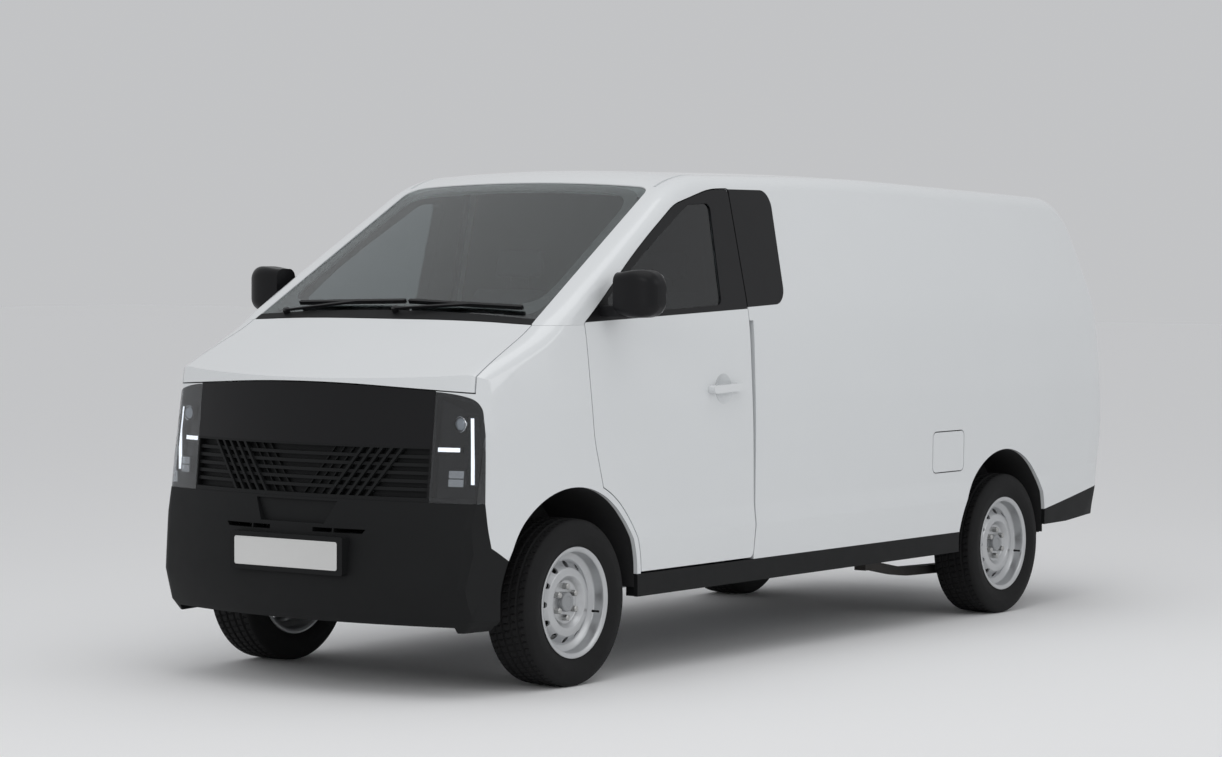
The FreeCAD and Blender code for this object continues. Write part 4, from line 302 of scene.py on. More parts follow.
def bare_mesh(name: str, points: np.ndarray, faces: np.ndarray) -> bpy.types.Mesh:
    """A mesh from arrays of corner points and of faces that all have as many corners.

    Args:
        name: the mesh's name.
        points: corner points, one row each, in metres.
        faces: rows of corner numbers, four or three to a face.

    Returns:
        The mesh, shaded smooth.
    """
    mesh = bpy.data.meshes.new(name)
    rows, corners = faces.shape
    mesh.vertices.add(len(points))
    mesh.vertices.foreach_set("co", np.ascontiguousarray(points, np.float32).ravel())
    mesh.loops.add(rows * corners)
    mesh.loops.foreach_set("vertex_index", faces.astype(np.int32).ravel())
    mesh.polygons.add(rows)
    mesh.polygons.foreach_set("loop_start", np.arange(0, rows * corners, corners, dtype=np.int32))
    mesh.polygons.foreach_set("loop_total", np.full(rows, corners, np.int32))
    mesh.update(calc_edges=True)
    mesh.shade_smooth()
    return mesh


def grid_faces(rows: int, columns: int, close_rows: bool = False, close_columns: bool = False) -> np.ndarray:
    """The four-cornered faces of a grid of points, which may join up along either way."""
    down = np.arange(rows if close_rows else rows - 1)
    across = np.arange(columns if close_columns else columns - 1)
    one, other = np.meshgrid(down, across, indexing="ij")
    low, high = one * columns, (one + 1) % rows * columns
    left, right = other, (other + 1) % columns
    return np.stack([low + left, low + right, high + right, high + left], -1).reshape(-1, 4)


def weld(mesh: bpy.types.Mesh, sharp_degrees: float, outward: bool = False) -> bpy.types.Mesh:
    """Joins a mesh's loose corners, and keeps its edges sharp past an angle.

    Args:
        mesh: the mesh, changed in place.
        sharp_degrees: edges that turn by more stay sharp.
        outward: whether the faces are turned to point outwards as well.

    Returns:
        The same mesh.
    """
    work = bmesh.new()
    work.from_mesh(mesh)
    bmesh.ops.remove_doubles(work, verts=work.verts, dist=WELD)
    if outward:
        bmesh.ops.recalc_face_normals(work, faces=work.faces)
    work.to_mesh(mesh)
    work.free()
    given = mesh.attributes.get("custom_normal")
    if given is not None:
        mesh.attributes.remove(given)
    mesh.shade_smooth()
    mesh.set_sharp_from_angle(angle=math.radians(sharp_degrees))
    return mesh


def piece(name: str, mesh: bpy.types.Mesh, finish: Finish, body: str, *nodes: str) -> bpy.types.Object:
    """Puts a mesh in the scene as a piece with its finish, on the body that carries it.

    Args:
        name: the piece's name.
        mesh: its mesh, already in place.
        finish: what it wears.
        body: the body that it moves with.
        nodes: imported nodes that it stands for.

    Returns:
        The new object.
    """
    made = bpy.data.objects.new(name, mesh)
    bpy.context.scene.collection.objects.link(made)
    mesh.materials.clear()
    mesh.materials.append(finish.material())
    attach(made, body)
    if nodes:
        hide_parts(*nodes)
    LOG.info("%s: %d faces on %s", name, len(mesh.polygons), body)
    return made


def joined(parts: list[Shape]) -> Shape:
    """Several shapes, each its points and its faces, as one pair of arrays."""
    points, faces, start = [], [], 0
    for some_points, some_faces in parts:
        points.append(some_points)
        faces.append(some_faces + start)
        start += len(some_points)
    return np.concatenate(points), np.concatenate(faces)


def body_of_node(node: str) -> str:
    """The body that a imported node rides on."""
    return frame["nodes"][node]["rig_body"]


@dataclass
class Skins:
    """A smooth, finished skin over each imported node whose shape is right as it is."""

    sharp_degrees: float = 24.0
    worn: tuple[tuple[Finish, str], ...] = (
        (PAINT, "hood roof front_fenders cab_side_left cab_side_right quarter_panel_left "
                "quarter_panel_right sliding_door charge_flap door_left door_right tailgate"),
        (SATIN_BLACK, "pillar_panels door_frame_left door_frame_right front_panel mirror_left mirror_right "
                      "wipers"),
        (GRAINED_BLACK, "cowl grille front_bumper rear_bumper sills"),
        (LINER_BLACK, "wheel_liners"),
        (SEAL_RUBBER, "seals"),
        (GLASS, "windshield"),
        (DARK_GLASS, "door_glass_left door_glass_right rear_glass"),
        (CLEAR_COVER, "lamp_covers"),
        (LAMP_BLACK, "headlamps"),
        (RED_LENS, "tail_lamps"),
        (TRIM, "dashboard steering_wheel bulkhead"),
        (FLOOR_COAT, "floor"),
        (CHASSIS_COAT, "underframe front_suspension nose_carrier"),
        (CAST_IRON, "rear_axle knuckle_left knuckle_right"),
        (BATTERY_GREY, "battery_pack"),
        (WHEEL_SILVER, "rim_front_left rim_front_right rim_rear_left rim_rear_right"),
    )

    def build(self) -> None:
        """Makes the skins, one for each node."""
        for finish, nodes in self.worn:
            for node in nodes.split():
                mesh = weld(frame["nodes"][node].data.copy(), self.sharp_degrees)
                piece(f"{node}_skin", mesh, finish, body_of_node(node), node)


@dataclass
class Tyre:
    """A radial tyre: a section carried round the axle, with ribs, sipes and shoulder blocks cut in.

    The section is given in shares: across from one bead to the other as shares of the half width, and out
    from the bead to the tread as shares of the section height.
    """

    corner: Corner
    pitches: int = 68
    columns_a_pitch: int = 6
    groove_depth: float = 0.0075
    groove_half: float = 0.0038
    groove_steepness: float = 1.6
    groove_places: tuple[float, ...] = (-0.52, -0.18, 0.18, 0.52)
    slant: float = 0.9
    sipe_depth: float = 0.005
    sipe_half_share: float = 0.09
    sipe_reach_share: float = 0.44
    block_depth: float = 0.0055
    block_half_share: float = 0.10
    block_from_share: float = 0.58
    ring_height: float = 0.0012
    ring_half_share: float = 0.012
    ring_share: tuple[float, ...] = (0.20, 0.62, 0.80)
    across_share: tuple[float, ...] = (0.80, 0.84, 0.90, 0.97, 1.0, 0.985, 0.95, 0.90, 0.84, 0.78)
    out_share: tuple[float, ...] = (0.03, 0.08, 0.20, 0.38, 0.55, 0.72, 0.86, 0.935, 0.975, 0.985)
    tread_points: int = 56
    wall_points: int = 26

    def section(self, half: float, bead: float, crown: float) -> tuple[np.ndarray, np.ndarray]:
        """The outer line from bead to bead.

        The side wall's points are read off the share tables along their length, and the tread is flat with
        a slight crown: its radius falls with the fourth power of the distance from the middle.

        Args:
            half: half the tyre's width.
            bead: radius at the bead.
            crown: radius at the middle of the tread.

        Returns:
            Places across the tyre, and radii.
        """
        known = np.linspace(0, 1, len(self.across_share))
        along = np.linspace(0, 1, self.wall_points)
        wall_x = half * np.interp(along, known, self.across_share)
        wall_r = bead + (crown - bead) * np.interp(along, known, self.out_share)
        edge = wall_x[-1]
        tread_x = np.linspace(edge, -edge, self.tread_points + 2)[1:-1]
        drop = crown - wall_r[-1]
        tread_r = crown - drop * np.abs(tread_x / edge) ** 4
        return (np.concatenate([wall_x, tread_x, -wall_x[::-1]]),
                np.concatenate([wall_r, tread_r, wall_r[::-1]]))

    def depth(self, x: np.ndarray, turn: np.ndarray, half: float, wall: np.ndarray) -> np.ndarray:
        """How deep the pattern is cut at each place.

        Round grooves are flat-bottomed notches at four places across. Sipes and block gaps are narrow
        saw cuts at an even pitch round the tyre, slanted by their distance from the middle.

        Args:
            x: places across.
            turn: turns round the axle, in pitches.
            half: half the tyre's width.
            wall: one on the side wall and nought on the tread.

        Returns:
            The depth in metres.
        """
        cut = np.zeros(np.broadcast(x, turn).shape)
        for place in self.groove_places:
            near = np.clip(self.groove_steepness - np.abs(x - place * half) / self.groove_half, 0, 1)
            cut = np.maximum(cut, self.groove_depth * near)
        leaning = turn + self.slant * x / half
        saw = np.abs((leaning + 0.5) % 1 - 0.5)
        middle = (np.abs(x) < self.sipe_reach_share * half) & (saw < self.sipe_half_share)
        cut = np.maximum(cut, np.where(middle, self.sipe_depth, 0))
        outer = np.abs(x) > self.block_from_share * half
        cut = np.maximum(cut, np.where(outer & (saw < self.block_half_share), self.block_depth, 0))
        return cut * (1 - wall)

    def build(self) -> None:
        """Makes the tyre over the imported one."""
        node = f"tyre_{self.corner.word}"
        low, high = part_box(node)
        middle = (low + high) / 2
        half, crown = (high.x - low.x) / 2, (high.z - low.z) / 2
        packed = np.array([v.co for v in frame["nodes"][node].data.vertices])
        spoke = np.hypot(packed[:, 1] - middle.y, packed[:, 2] - middle.z)
        bead = float(spoke.min())
        x, radius = self.section(half, bead, crown)
        columns = self.pitches * self.columns_a_pitch
        turn = np.arange(columns) / self.columns_a_pitch
        wall = (np.abs(x) > self.across_share[-1] * half).astype(float)
        grid_x = x[:, None] + 0 * turn[None, :]
        grid_r = radius[:, None] - self.depth(x[:, None], turn[None, :], half, wall[:, None])
        share = (radius - bead) / (crown - bead)
        for ring in self.ring_share:
            bulge = self.ring_height * wall * np.exp(-((share - ring) / self.ring_half_share) ** 2)
            grid_x = grid_x + np.sign(grid_x) * bulge[:, None]
        angle = 2 * math.pi * turn / self.pitches
        points = np.stack([middle.x + grid_x, middle.y + grid_r * np.cos(angle),
                           middle.z + grid_r * np.sin(angle)], -1).reshape(-1, 3)
        faces = grid_faces(len(x), columns, close_rows=True, close_columns=True)
        mesh = weld(bare_mesh(node, points, faces), SHARP_DEGREES, outward=True)
        piece(f"{node}_skin", mesh, TYRE_RUBBER, body_of_node(node), node)


@dataclass
class Studio:
    """The pale floor, the soft lights and the camera at the photograph's angle."""

    place: tuple[float, float, float] = (8.689, -12.670, 1.725)
    yaw_degrees: float = 35.496
    pitch_degrees: float = 2.206
    roll_degrees: float = 0.258
    lens: float = 100.88
    sensor: float = 36.0
    far_clip: float = 300.0
    floor_half: float = 60.0
    floor_roughness: float = 0.9
    floor_colour: Colour = (0.90, 0.90, 0.90)
    sky_light: float = 0.62
    sky_colour: Colour = (0.97, 0.98, 1.0)
    lamps: tuple[tuple[str, Colour, Colour, tuple[float, float], float], ...] = (
        ("over_light", (1.5, -2.0, 7.0), (0, 0, 1), (6, 6), 95),
        ("nose_light", (3.5, -9.0, 4.5), (0, -1.5, 0.9), (4, 3), 70),
        ("side_light", (9.0, 1.5, 4.5), (0, 0.5, 1.0), (5, 3), 48),
    )

    def camera(self) -> None:
        """Sets the camera from its place and three angles."""
        yaw = math.radians(self.yaw_degrees)
        pitch = math.radians(self.pitch_degrees)
        roll = math.radians(self.roll_degrees)
        level = Vector((math.cos(yaw), math.sin(yaw), 0))
        ahead = Vector((-math.sin(yaw) * math.cos(pitch), math.cos(yaw) * math.cos(pitch),
                        -math.sin(pitch)))
        upright = level.cross(ahead)
        right = level * math.cos(roll) + upright * math.sin(roll)
        up = upright * math.cos(roll) - level * math.sin(roll)
        seen = bpy.data.cameras.new("camera")
        seen.lens = self.lens
        seen.sensor_width = self.sensor
        seen.clip_end = self.far_clip
        holder = bpy.data.objects.new("camera", seen)
        turn = Matrix((right, up, -ahead)).transposed().to_4x4()
        holder.matrix_world = Matrix.Translation(Vector(self.place)) @ turn
        bpy.context.scene.collection.objects.link(holder)
        bpy.context.scene.camera = holder

    def floor(self) -> None:
        """Lays the pale floor at the height that the tyres stand on."""
        reach = self.floor_half
        points = np.array([[-reach, -reach, 0], [reach, -reach, 0], [reach, reach, 0], [-reach, reach, 0]])
        mesh = bare_mesh("floor_plain", points, np.array([[0, 1, 2, 3]]))
        made = bpy.data.objects.new("floor_plain", mesh)
        bpy.context.scene.collection.objects.link(made)
        finish = bpy.data.materials.new("pale_floor")
        finish.use_nodes = True
        shader = finish.node_tree.nodes["Principled BSDF"]
        shader.inputs["Base Color"].default_value = (*self.floor_colour, 1)
        shader.inputs["Roughness"].default_value = self.floor_roughness
        mesh.materials.append(finish)

    def lamp(self, name: str, place: tuple[float, float, float], aim: tuple[float, float, float],
             size: tuple[float, float], watts: float) -> None:
        """Hangs one soft rectangular light, turned towards a point."""
        light = bpy.data.lights.new(name, "AREA")
        light.shape = "RECTANGLE"
        light.size, light.size_y = size
        light.energy = watts
        holder = bpy.data.objects.new(name, light)
        holder.location = place
        holder.rotation_euler = (Vector(aim) - Vector(place)).to_track_quat("-Z", "Y").to_euler()
        bpy.context.scene.collection.objects.link(holder)

    def sky(self) -> None:
        """A soft sky, seen as dim as the floor under it, so that no horizon shows."""
        world = bpy.data.worlds.new("studio")
        bpy.context.scene.world = world
        world.use_nodes = True
        tree = world.node_tree
        shader = tree.nodes["Background"]
        paths = tree.nodes.new("ShaderNodeLightPath")
        strength = tree.nodes.new("ShaderNodeMapRange")
        strength.inputs["To Min"].default_value = self.sky_light
        strength.inputs["To Max"].default_value = self.sky_light * self.floor_colour[0]
        tree.links.new(paths.outputs["Is Camera Ray"], strength.inputs["Value"])
        tree.links.new(strength.outputs["Result"], shader.inputs["Strength"])
        shader.inputs["Color"].default_value = (*self.sky_colour, 1)

    def build(self) -> None:
        """Sets up the view and the light."""
        self.camera()
        self.floor()
        self.sky()
        for name, place, aim, size, watts in self.lamps:
            self.lamp(name, place, aim, size, watts)
        bpy.context.scene.view_settings.view_transform = "Standard"


@dataclass
class Surface:
    """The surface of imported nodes, to lay thin pieces on."""

    nodes: tuple[str, ...]

    def __post_init__(self) -> None:
        points, faces, start = [], [], 0
        for node in self.nodes:
            mesh = frame["nodes"][node].data
            points += [v.co.copy() for v in mesh.vertices]
            faces += [[start + i for i in p.vertices] for p in mesh.polygons]
            start += len(mesh.vertices)
        self.tree = BVHTree.FromPolygons(points, faces)

    def lay(self, start: Vector, along: Vector, proud: float) -> Vector:
        """The place where a ray meets the surface, lifted off it towards the ray's start.

        Args:
            start: where the ray starts.
            along: which way it goes.
            proud: how far the place is lifted off the surface.

        Returns:
            The place, or the ray's start where it meets nothing.
        """
        hit = self.tree.ray_cast(start, along)
        if hit[0] is None:
            return start
        return hit[0] - along.normalized() * proud


def draped(surface: Surface, corners: list[Vector], along: Vector, proud: float,
           size: tuple[int, int]) -> Shape:
    """A thin sheet between four corners, laid on a surface.

    Args:
        surface: what it lies on.
        corners: four corners ahead of the surface, in order round the sheet.
        along: which way the corners are dropped.
        proud: how far the sheet stands off.
        size: points along the first side and along the second.

    Returns:
        The sheet's points and faces.
    """
    rows, columns = size
    points = []
    for u in np.linspace(0, 1, rows):
        for v in np.linspace(0, 1, columns):
            low = corners[0].lerp(corners[1], v)
            high = corners[3].lerp(corners[2], v)
            points.append(surface.lay(low.lerp(high, u), along, proud))
    return np.array(points), grid_faces(rows, columns)


def lathe(line: list[tuple[float, float]], segments: int, middle: Vector, axis: Vector) -> Shape:
    """A round shape: a line of places along an axis and radii, turned round the axis.

    Args:
        line: pairs of a place along the axis and a radius.
        segments: how many facets go round.
        middle: the origin of the axis.
        axis: the axis.

    Returns:
        The shape's points and faces.
    """
    axis = axis.normalized()
    side = axis.orthogonal().normalized()
    other = axis.cross(side)
    turn = np.linspace(0, 2 * math.pi, segments, endpoint=False)
    rows = []
    for place, radius in line:
        ring = (np.array(middle + axis * place)[None, :]
                + radius * (np.cos(turn)[:, None] * np.array(side) + np.sin(turn)[:, None] * np.array(other)))
        rows.append(ring)
    return np.concatenate(rows), grid_faces(len(line), segments, close_columns=True)


def slab(outline: np.ndarray, thick: Vector) -> Shape:
    """A flat plate: an outline in space, its copy moved by a vector, the rim and two fanned faces.

    Args:
        outline: points round the plate, in order.
        thick: the way from one face to the other.

    Returns:
        The plate's points and its faces: a fan's face names its middle point twice.
    """
    count = len(outline)
    far = outline + np.array(thick)
    points = np.concatenate([outline, far, [outline.mean(0)], [far.mean(0)]])
    around = np.arange(count)
    after = (around + 1) % count
    rim = np.stack([around, after, after + count, around + count], -1)
    near_fan = np.stack([np.full(count, 2 * count), after, around, np.full(count, 2 * count)], -1)
    far_fan = np.stack([np.full(count, 2 * count + 1), around + count, after + count,
                        np.full(count, 2 * count + 1)], -1)
    return points, np.concatenate([rim, near_fan, far_fan])


def rounded_outline(half_across: float, half_up: float, corner: float, steps: int = 8) -> np.ndarray:
    """The outline of a rounded rectangle round the origin, as pairs of across and up."""
    points = []
    for start, (sx, sz) in enumerate([(1, 1), (-1, 1), (-1, -1), (1, -1)]):
        for turn in np.linspace(0, math.pi / 2, steps):
            angle = start * math.pi / 2 + turn
            points.append((sx * (half_across - corner) + corner * math.cos(angle),
                           sz * (half_up - corner) + corner * math.sin(angle)))
    return np.array(points)


def closed_mesh(name: str, shape: Shape, sharp_degrees: float = 30.0) -> bpy.types.Mesh:
    """A mesh of a closed shape, its doubles joined and its faces turned outwards."""
    mesh = bpy.data.meshes.new(name)
    points, faces = shape
    rows = [list(dict.fromkeys(row)) for row in faces.tolist()]
    mesh.from_pydata([tuple(p) for p in points], [], rows)
    return weld(mesh, sharp_degrees, outward=True)


@dataclass
class WheelFittings:
    """The wheel's hexagon nuts, its pressed cap and its tyre valve."""

    corner: Corner
    hub_reach: float = 0.716
    nut_circle: float = 0.062
    nut_count: int = 6
    nut_start: float = 0.036
    nut_end: float = 0.0655
    nut_radius: float = 0.0135
    nut_taper: float = 0.004
    nut_end_share: float = 0.72
    nut_sides: int = 6
    cap_start: float = 0.036
    cap_end: float = 0.0625
    cap_radius: float = 0.0385
    cap_shoulder: float = 0.008
    cap_round: float = 0.006
    cap_steps: int = 7
    dish_deep: float = 0.002
    dish_radius: float = 0.024
    dish_floor_radius: float = 0.021
    cap_segments: int = 48
    valve_circle: float = 0.158
    valve_turn: float = 0.3
    valve_start: float = 0.070
    valve_line: Pairs = ((0.0, 0.0), (0.0, 0.0055), (0.012, 0.0045), (0.021, 0.0038), (0.022, 0.0046),
                         (0.031, 0.0044), (0.031, 0.0))
    valve_segments: int = 16

    def build(self) -> None:
        """Makes the three pieces on the wheel's body."""
        node = f"rim_{self.corner.word}"
        low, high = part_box(node)
        hub = Vector((self.corner.sign * self.hub_reach, (low.y + high.y) / 2, (low.z + high.z) / 2))
        out = Vector((self.corner.sign, 0, 0))
        body = body_of_node(node)
        nuts = []
        for i in range(self.nut_count):
            turn = 2 * math.pi * (i + 0.5) / self.nut_count
            place = hub + self.nut_circle * Vector((0, math.cos(turn), math.sin(turn)))
            line = [(self.nut_start, 0.0), (self.nut_start, self.nut_radius),
                    (self.nut_end - self.nut_taper, self.nut_radius),
                    (self.nut_end, self.nut_radius * self.nut_end_share), (self.nut_end, 0.0)]
            nuts.append(lathe(line, self.nut_sides, place, out))
        piece(f"{self.corner.word}_nuts", closed_mesh("nuts", joined(nuts)), ZINC, body)
        cap = [(self.cap_start, 0.0), (self.cap_start, self.cap_radius),
               (self.cap_end - self.cap_shoulder, self.cap_radius)]
        for angle in np.linspace(0, math.pi / 2, self.cap_steps):
            cap.append((self.cap_end - self.cap_round * (1 - math.sin(angle)),
                        self.cap_radius - self.cap_round * (1 - math.cos(angle))))
        cap += [(self.cap_end, self.dish_radius), (self.cap_end - self.dish_deep, self.dish_floor_radius),
                (self.cap_end - self.dish_deep, 0.0)]
        shape = lathe(cap, self.cap_segments, hub, out)
        piece(f"{self.corner.word}_cap", closed_mesh("cap", shape), CAP_GREY, body)
        place = hub + self.valve_circle * Vector((0, math.cos(self.valve_turn), -math.sin(self.valve_turn)))
        place += out * self.valve_start
        shape = lathe(self.valve_line, self.valve_segments, place, out)
        piece(f"{self.corner.word}_valve", closed_mesh("valve", shape), SEAL_RUBBER, body)


@dataclass
class BlankPlate:
    """A blank number plate with a raised edge, on the bumper's plinth."""

    middle: tuple[float, float, float] = (0.0, -2.6515, 0.536)
    half_across: float = 0.260
    half_up: float = 0.055
    corner_round: float = 0.009
    thick: float = 0.0012
    edge: float = 0.0032
    rim_shares: Pairs = ((0.0, 0.0), (0.0, 1.0), (0.4, 1.7), (1.0, 1.7), (1.4, 1.0))

    def build(self) -> None:
        """Makes the plate: a flat middle in a rolled rim, whose shares are of its edge and its thickness."""
        rows = []
        for inset_share, proud_share in self.rim_shares:
            inset = self.edge * inset_share
            flat = rounded_outline(self.half_across - inset, self.half_up - inset, self.corner_round - inset)
            row = np.stack([flat[:, 0], np.full(len(flat), -self.thick * proud_share), flat[:, 1]], -1)
            rows.append(row + np.array(self.middle))
        count = len(rows[0])
        points = np.concatenate(rows)
        faces = grid_faces(len(rows), count, close_columns=True).tolist()
        faces.append(list(range((len(rows) - 1) * count, len(rows) * count)))
        faces.append(list(range(count))[::-1])
        mesh = bpy.data.meshes.new("plate")
        mesh.from_pydata([tuple(p) for p in points], [], faces)
        mesh = weld(mesh, SHARP_DEGREES, outward=True)
        piece("front_plate", mesh, PLATE_WHITE, body_of_node("front_bumper"))


@dataclass
class HeadlampUnits:
    """The bright parts inside a headlamp: lens, bezel, day light bar, light guide and reflector."""

    side: Side
    ahead: float = 3.2
    proud: float = 0.0012
    lens: tuple[float, float] = (0.690, 1.048)
    lens_radius: float = 0.024
    lens_brim: float = 0.0005
    dome_start: float = 0.002
    dome_tall: float = 0.010
    dome_steps: int = 9
    round_segments: tuple[int, int] = (40, 48)
    bezel_line: Pairs = ((0.0, 0.0015), (0.006, 0.002), (0.0075, 0.0045), (0.006, 0.007), (0.0, 0.0075))
    bezel_sunk: float = 0.001
    bar: tuple[float, float, float, float] = (0.612, 0.698, 0.943, 0.959)
    guide: tuple[float, float, float, float] = (-2.429, -2.412, 0.820, 1.072)
    guide_x: float = 0.735
    guide_ahead: float = 0.3
    reflector: tuple[float, float] = (0.690, 0.842)
    reflector_half: float = 0.029
    reflector_rows: Pairs = ((-0.030, -0.002), (0.002, 0.030))
    reflector_proud: float = 0.0014
    bar_grid: tuple[int, int] = (4, 16)
    guide_grid: tuple[int, int] = (30, 4)
    reflector_grid: tuple[int, int] = (8, 12)

    def build(self) -> None:
        """Makes the pieces for one side."""
        sign = self.side.value
        word = self.side.word
        housing = Surface(("headlamps",))
        back = Vector((0, 1, 0))
        body = body_of_node("headlamps")
        at = Vector((sign * self.lens[0], -self.ahead, self.lens[1]))
        eye = housing.lay(at, back, 0.0)
        foot = self.dome_start / 2
        dome = [(foot, 0.0), (foot, self.lens_radius)]
        for angle in np.linspace(0, math.pi / 2, self.dome_steps):
            dome.append((self.dome_start + self.dome_tall * math.sin(angle),
                         self.lens_radius * math.cos(angle) + self.lens_brim))
        shape = lathe(dome, self.round_segments[0], eye, -back)
        piece(f"projector_lens_{word}", closed_mesh("lens", shape), LENS_GLASS, body)
        ring = [(place, self.lens_radius + wider) for place, wider in self.bezel_line]
        bezel = lathe(ring, self.round_segments[1], eye - back * self.bezel_sunk, -back)
        piece(f"projector_bezel_{word}", closed_mesh("bezel", bezel), BRIGHT_METAL, body)
        x0, x1, z0, z1 = self.bar
        corners = [Vector((sign * x, -self.ahead, z)) for x, z in ((x0, z0), (x1, z0), (x1, z1), (x0, z1))]
        sheet = draped(housing, corners, back, self.proud, self.bar_grid)
        piece(f"day_light_{word}", sheet_mesh("bar", sheet), LIGHT_GUIDE, body)
        y0, y1, z0, z1 = self.guide
        slant = Vector((-sign, 1, 0)).normalized()
        corners = [Vector((sign * self.guide_x, y, z)) - slant * self.guide_ahead
                   for y, z in ((y0, z0), (y1, z0), (y1, z1), (y0, z1))]
        sheet = draped(housing, corners, slant, self.proud, self.guide_grid)
        piece(f"light_guide_{word}", sheet_mesh("guide", sheet), LIGHT_GUIDE, body)
        x, z = self.reflector
        parts = []
        half = self.reflector_half
        for low, high in self.reflector_rows:
            corners = [Vector((sign * (x + a), -self.ahead, z + b))
                       for a, b in ((-half, low), (half, low), (half, high), (-half, high))]
            parts.append(draped(housing, corners, back, self.reflector_proud, self.reflector_grid))
        piece(f"low_reflector_{word}", sheet_mesh("reflector", joined(parts)), BRIGHT_METAL, body)


def sheet_mesh(name: str, shape: Shape, thick: float = 0.0008) -> bpy.types.Mesh:
    """A mesh of an open sheet given a small thickness behind it, closed along its rim."""
    points, faces = shape
    mesh = bare_mesh(name, points, faces)
    work = bmesh.new()
    work.from_mesh(mesh)
    bmesh.ops.remove_doubles(work, verts=work.verts, dist=WELD)
    bmesh.ops.recalc_face_normals(work, faces=work.faces)
    bmesh.ops.solidify(work, geom=work.faces[:], thickness=thick)
    bmesh.ops.recalc_face_normals(work, faces=work.faces)
    work.to_mesh(mesh)
    work.free()
    mesh.shade_smooth()
    mesh.set_sharp_from_angle(angle=math.radians(SHARP_DEGREES))
    return mesh


@dataclass
class ScreenBorder:
    """The black printed border on the windscreen."""

    low_y: float = -1.976
    high_y: float = -1.092
    low_half: float = 0.700
    high_half: float = 0.617
    side_wide: float = 0.042
    low_wide: float = 0.075
    high_wide: float = 0.048
    square: float = 9.0
    around: int = 200
    across: int = 5
    under: float = 0.9
    proud: float = 0.0012
    thick: float = 0.0004

    def edge(self, turn: np.ndarray, share: float) -> np.ndarray:
        """A rounded ring in plan between the glass's edge, share 0, and the clear view, share 1."""
        u = np.sign(np.cos(turn)) * np.abs(np.cos(turn)) ** (2 / self.square)
        v = np.sign(np.sin(turn)) * np.abs(np.sin(turn)) ** (2 / self.square)
        low = self.low_y + share * self.low_wide
        high = self.high_y - share * self.high_wide
        y = low + (high - low) * (v + 1) / 2
        reach = (y - self.low_y) / (self.high_y - self.low_y)
        half = self.low_half + (self.high_half - self.low_half) * reach - share * self.side_wide
        return np.stack([u * half, y], -1)

    def build(self) -> None:
        """Lays the border on the glass's inner face."""
        glass = Surface(("windshield",))
        up = Vector((0, 0, 1))
        turn = np.linspace(0, 2 * math.pi, self.around, endpoint=False)
        points = []
        for share in np.linspace(0, 1, self.across):
            for x, y in self.edge(turn, share):
                points.append(glass.lay(Vector((x, y, self.under)), up, self.proud))
        ring = np.array(points), grid_faces(self.across, self.around, close_columns=True)
        mesh = sheet_mesh("border", ring, -self.thick)
        piece("screen_border", mesh, GLOSS_BLACK, body_of_node("windshield"))


@dataclass
class MirrorGlass:
    """The silvered glass on the back of a door mirror."""

    side: Side
    middle: tuple[float, float, float] = (0.960, -1.5752, 1.540)
    half_across: float = 0.070
    half_up: float = 0.078
    corner_round: float = 0.022
    thick: float = 0.0016

    def build(self) -> None:
        """Makes one glass, a little smaller than the head's flat back."""
        x, y, z = self.middle
        flat = rounded_outline(self.half_across, self.half_up, self.corner_round)
        outline = np.stack([flat[:, 0] + self.side.value * x, np.full(len(flat), y), flat[:, 1] + z], -1)
        shape = slab(outline, Vector((0, self.thick, 0)))
        body = body_of_node(f"mirror_{self.side.word}")
        piece(f"mirror_glass_{self.side.word}", closed_mesh("glass", shape), SILVERED, body)


@dataclass
class TailLampSegments:
    """The clear and amber windows of a tail lamp."""

    side: Side
    behind: float = 3.2
    near: float = 0.712
    far: float = 0.742
    proud: float = 0.0012
    grid: tuple[int, int] = (12, 6)
    windows: tuple[tuple[str, Finish, float, float], ...] = (
        ("amber", AMBER_LENS, 0.60, 0.76), ("clear", CLEAR_LENS, 0.40, 0.56))

    def build(self) -> None:
        """Lays the two windows on the lamp's rear face."""
        low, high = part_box("tail_lamps")
        lamp = Surface(("tail_lamps",))
        tall = high.z - low.z
        sign = self.side.value
        for name, finish, start, end in self.windows:
            z0, z1 = low.z + start * tall, low.z + end * tall
            corners = [Vector((sign * x, self.behind, z))
                       for x, z in ((self.near, z0), (self.far, z0), (self.far, z1), (self.near, z1))]
            sheet = draped(lamp, corners, Vector((0, -1, 0)), self.proud, self.grid)
            piece(f"tail_{name}_{self.side.word}", sheet_mesh(name, sheet), finish,
                  body_of_node("tail_lamps"))


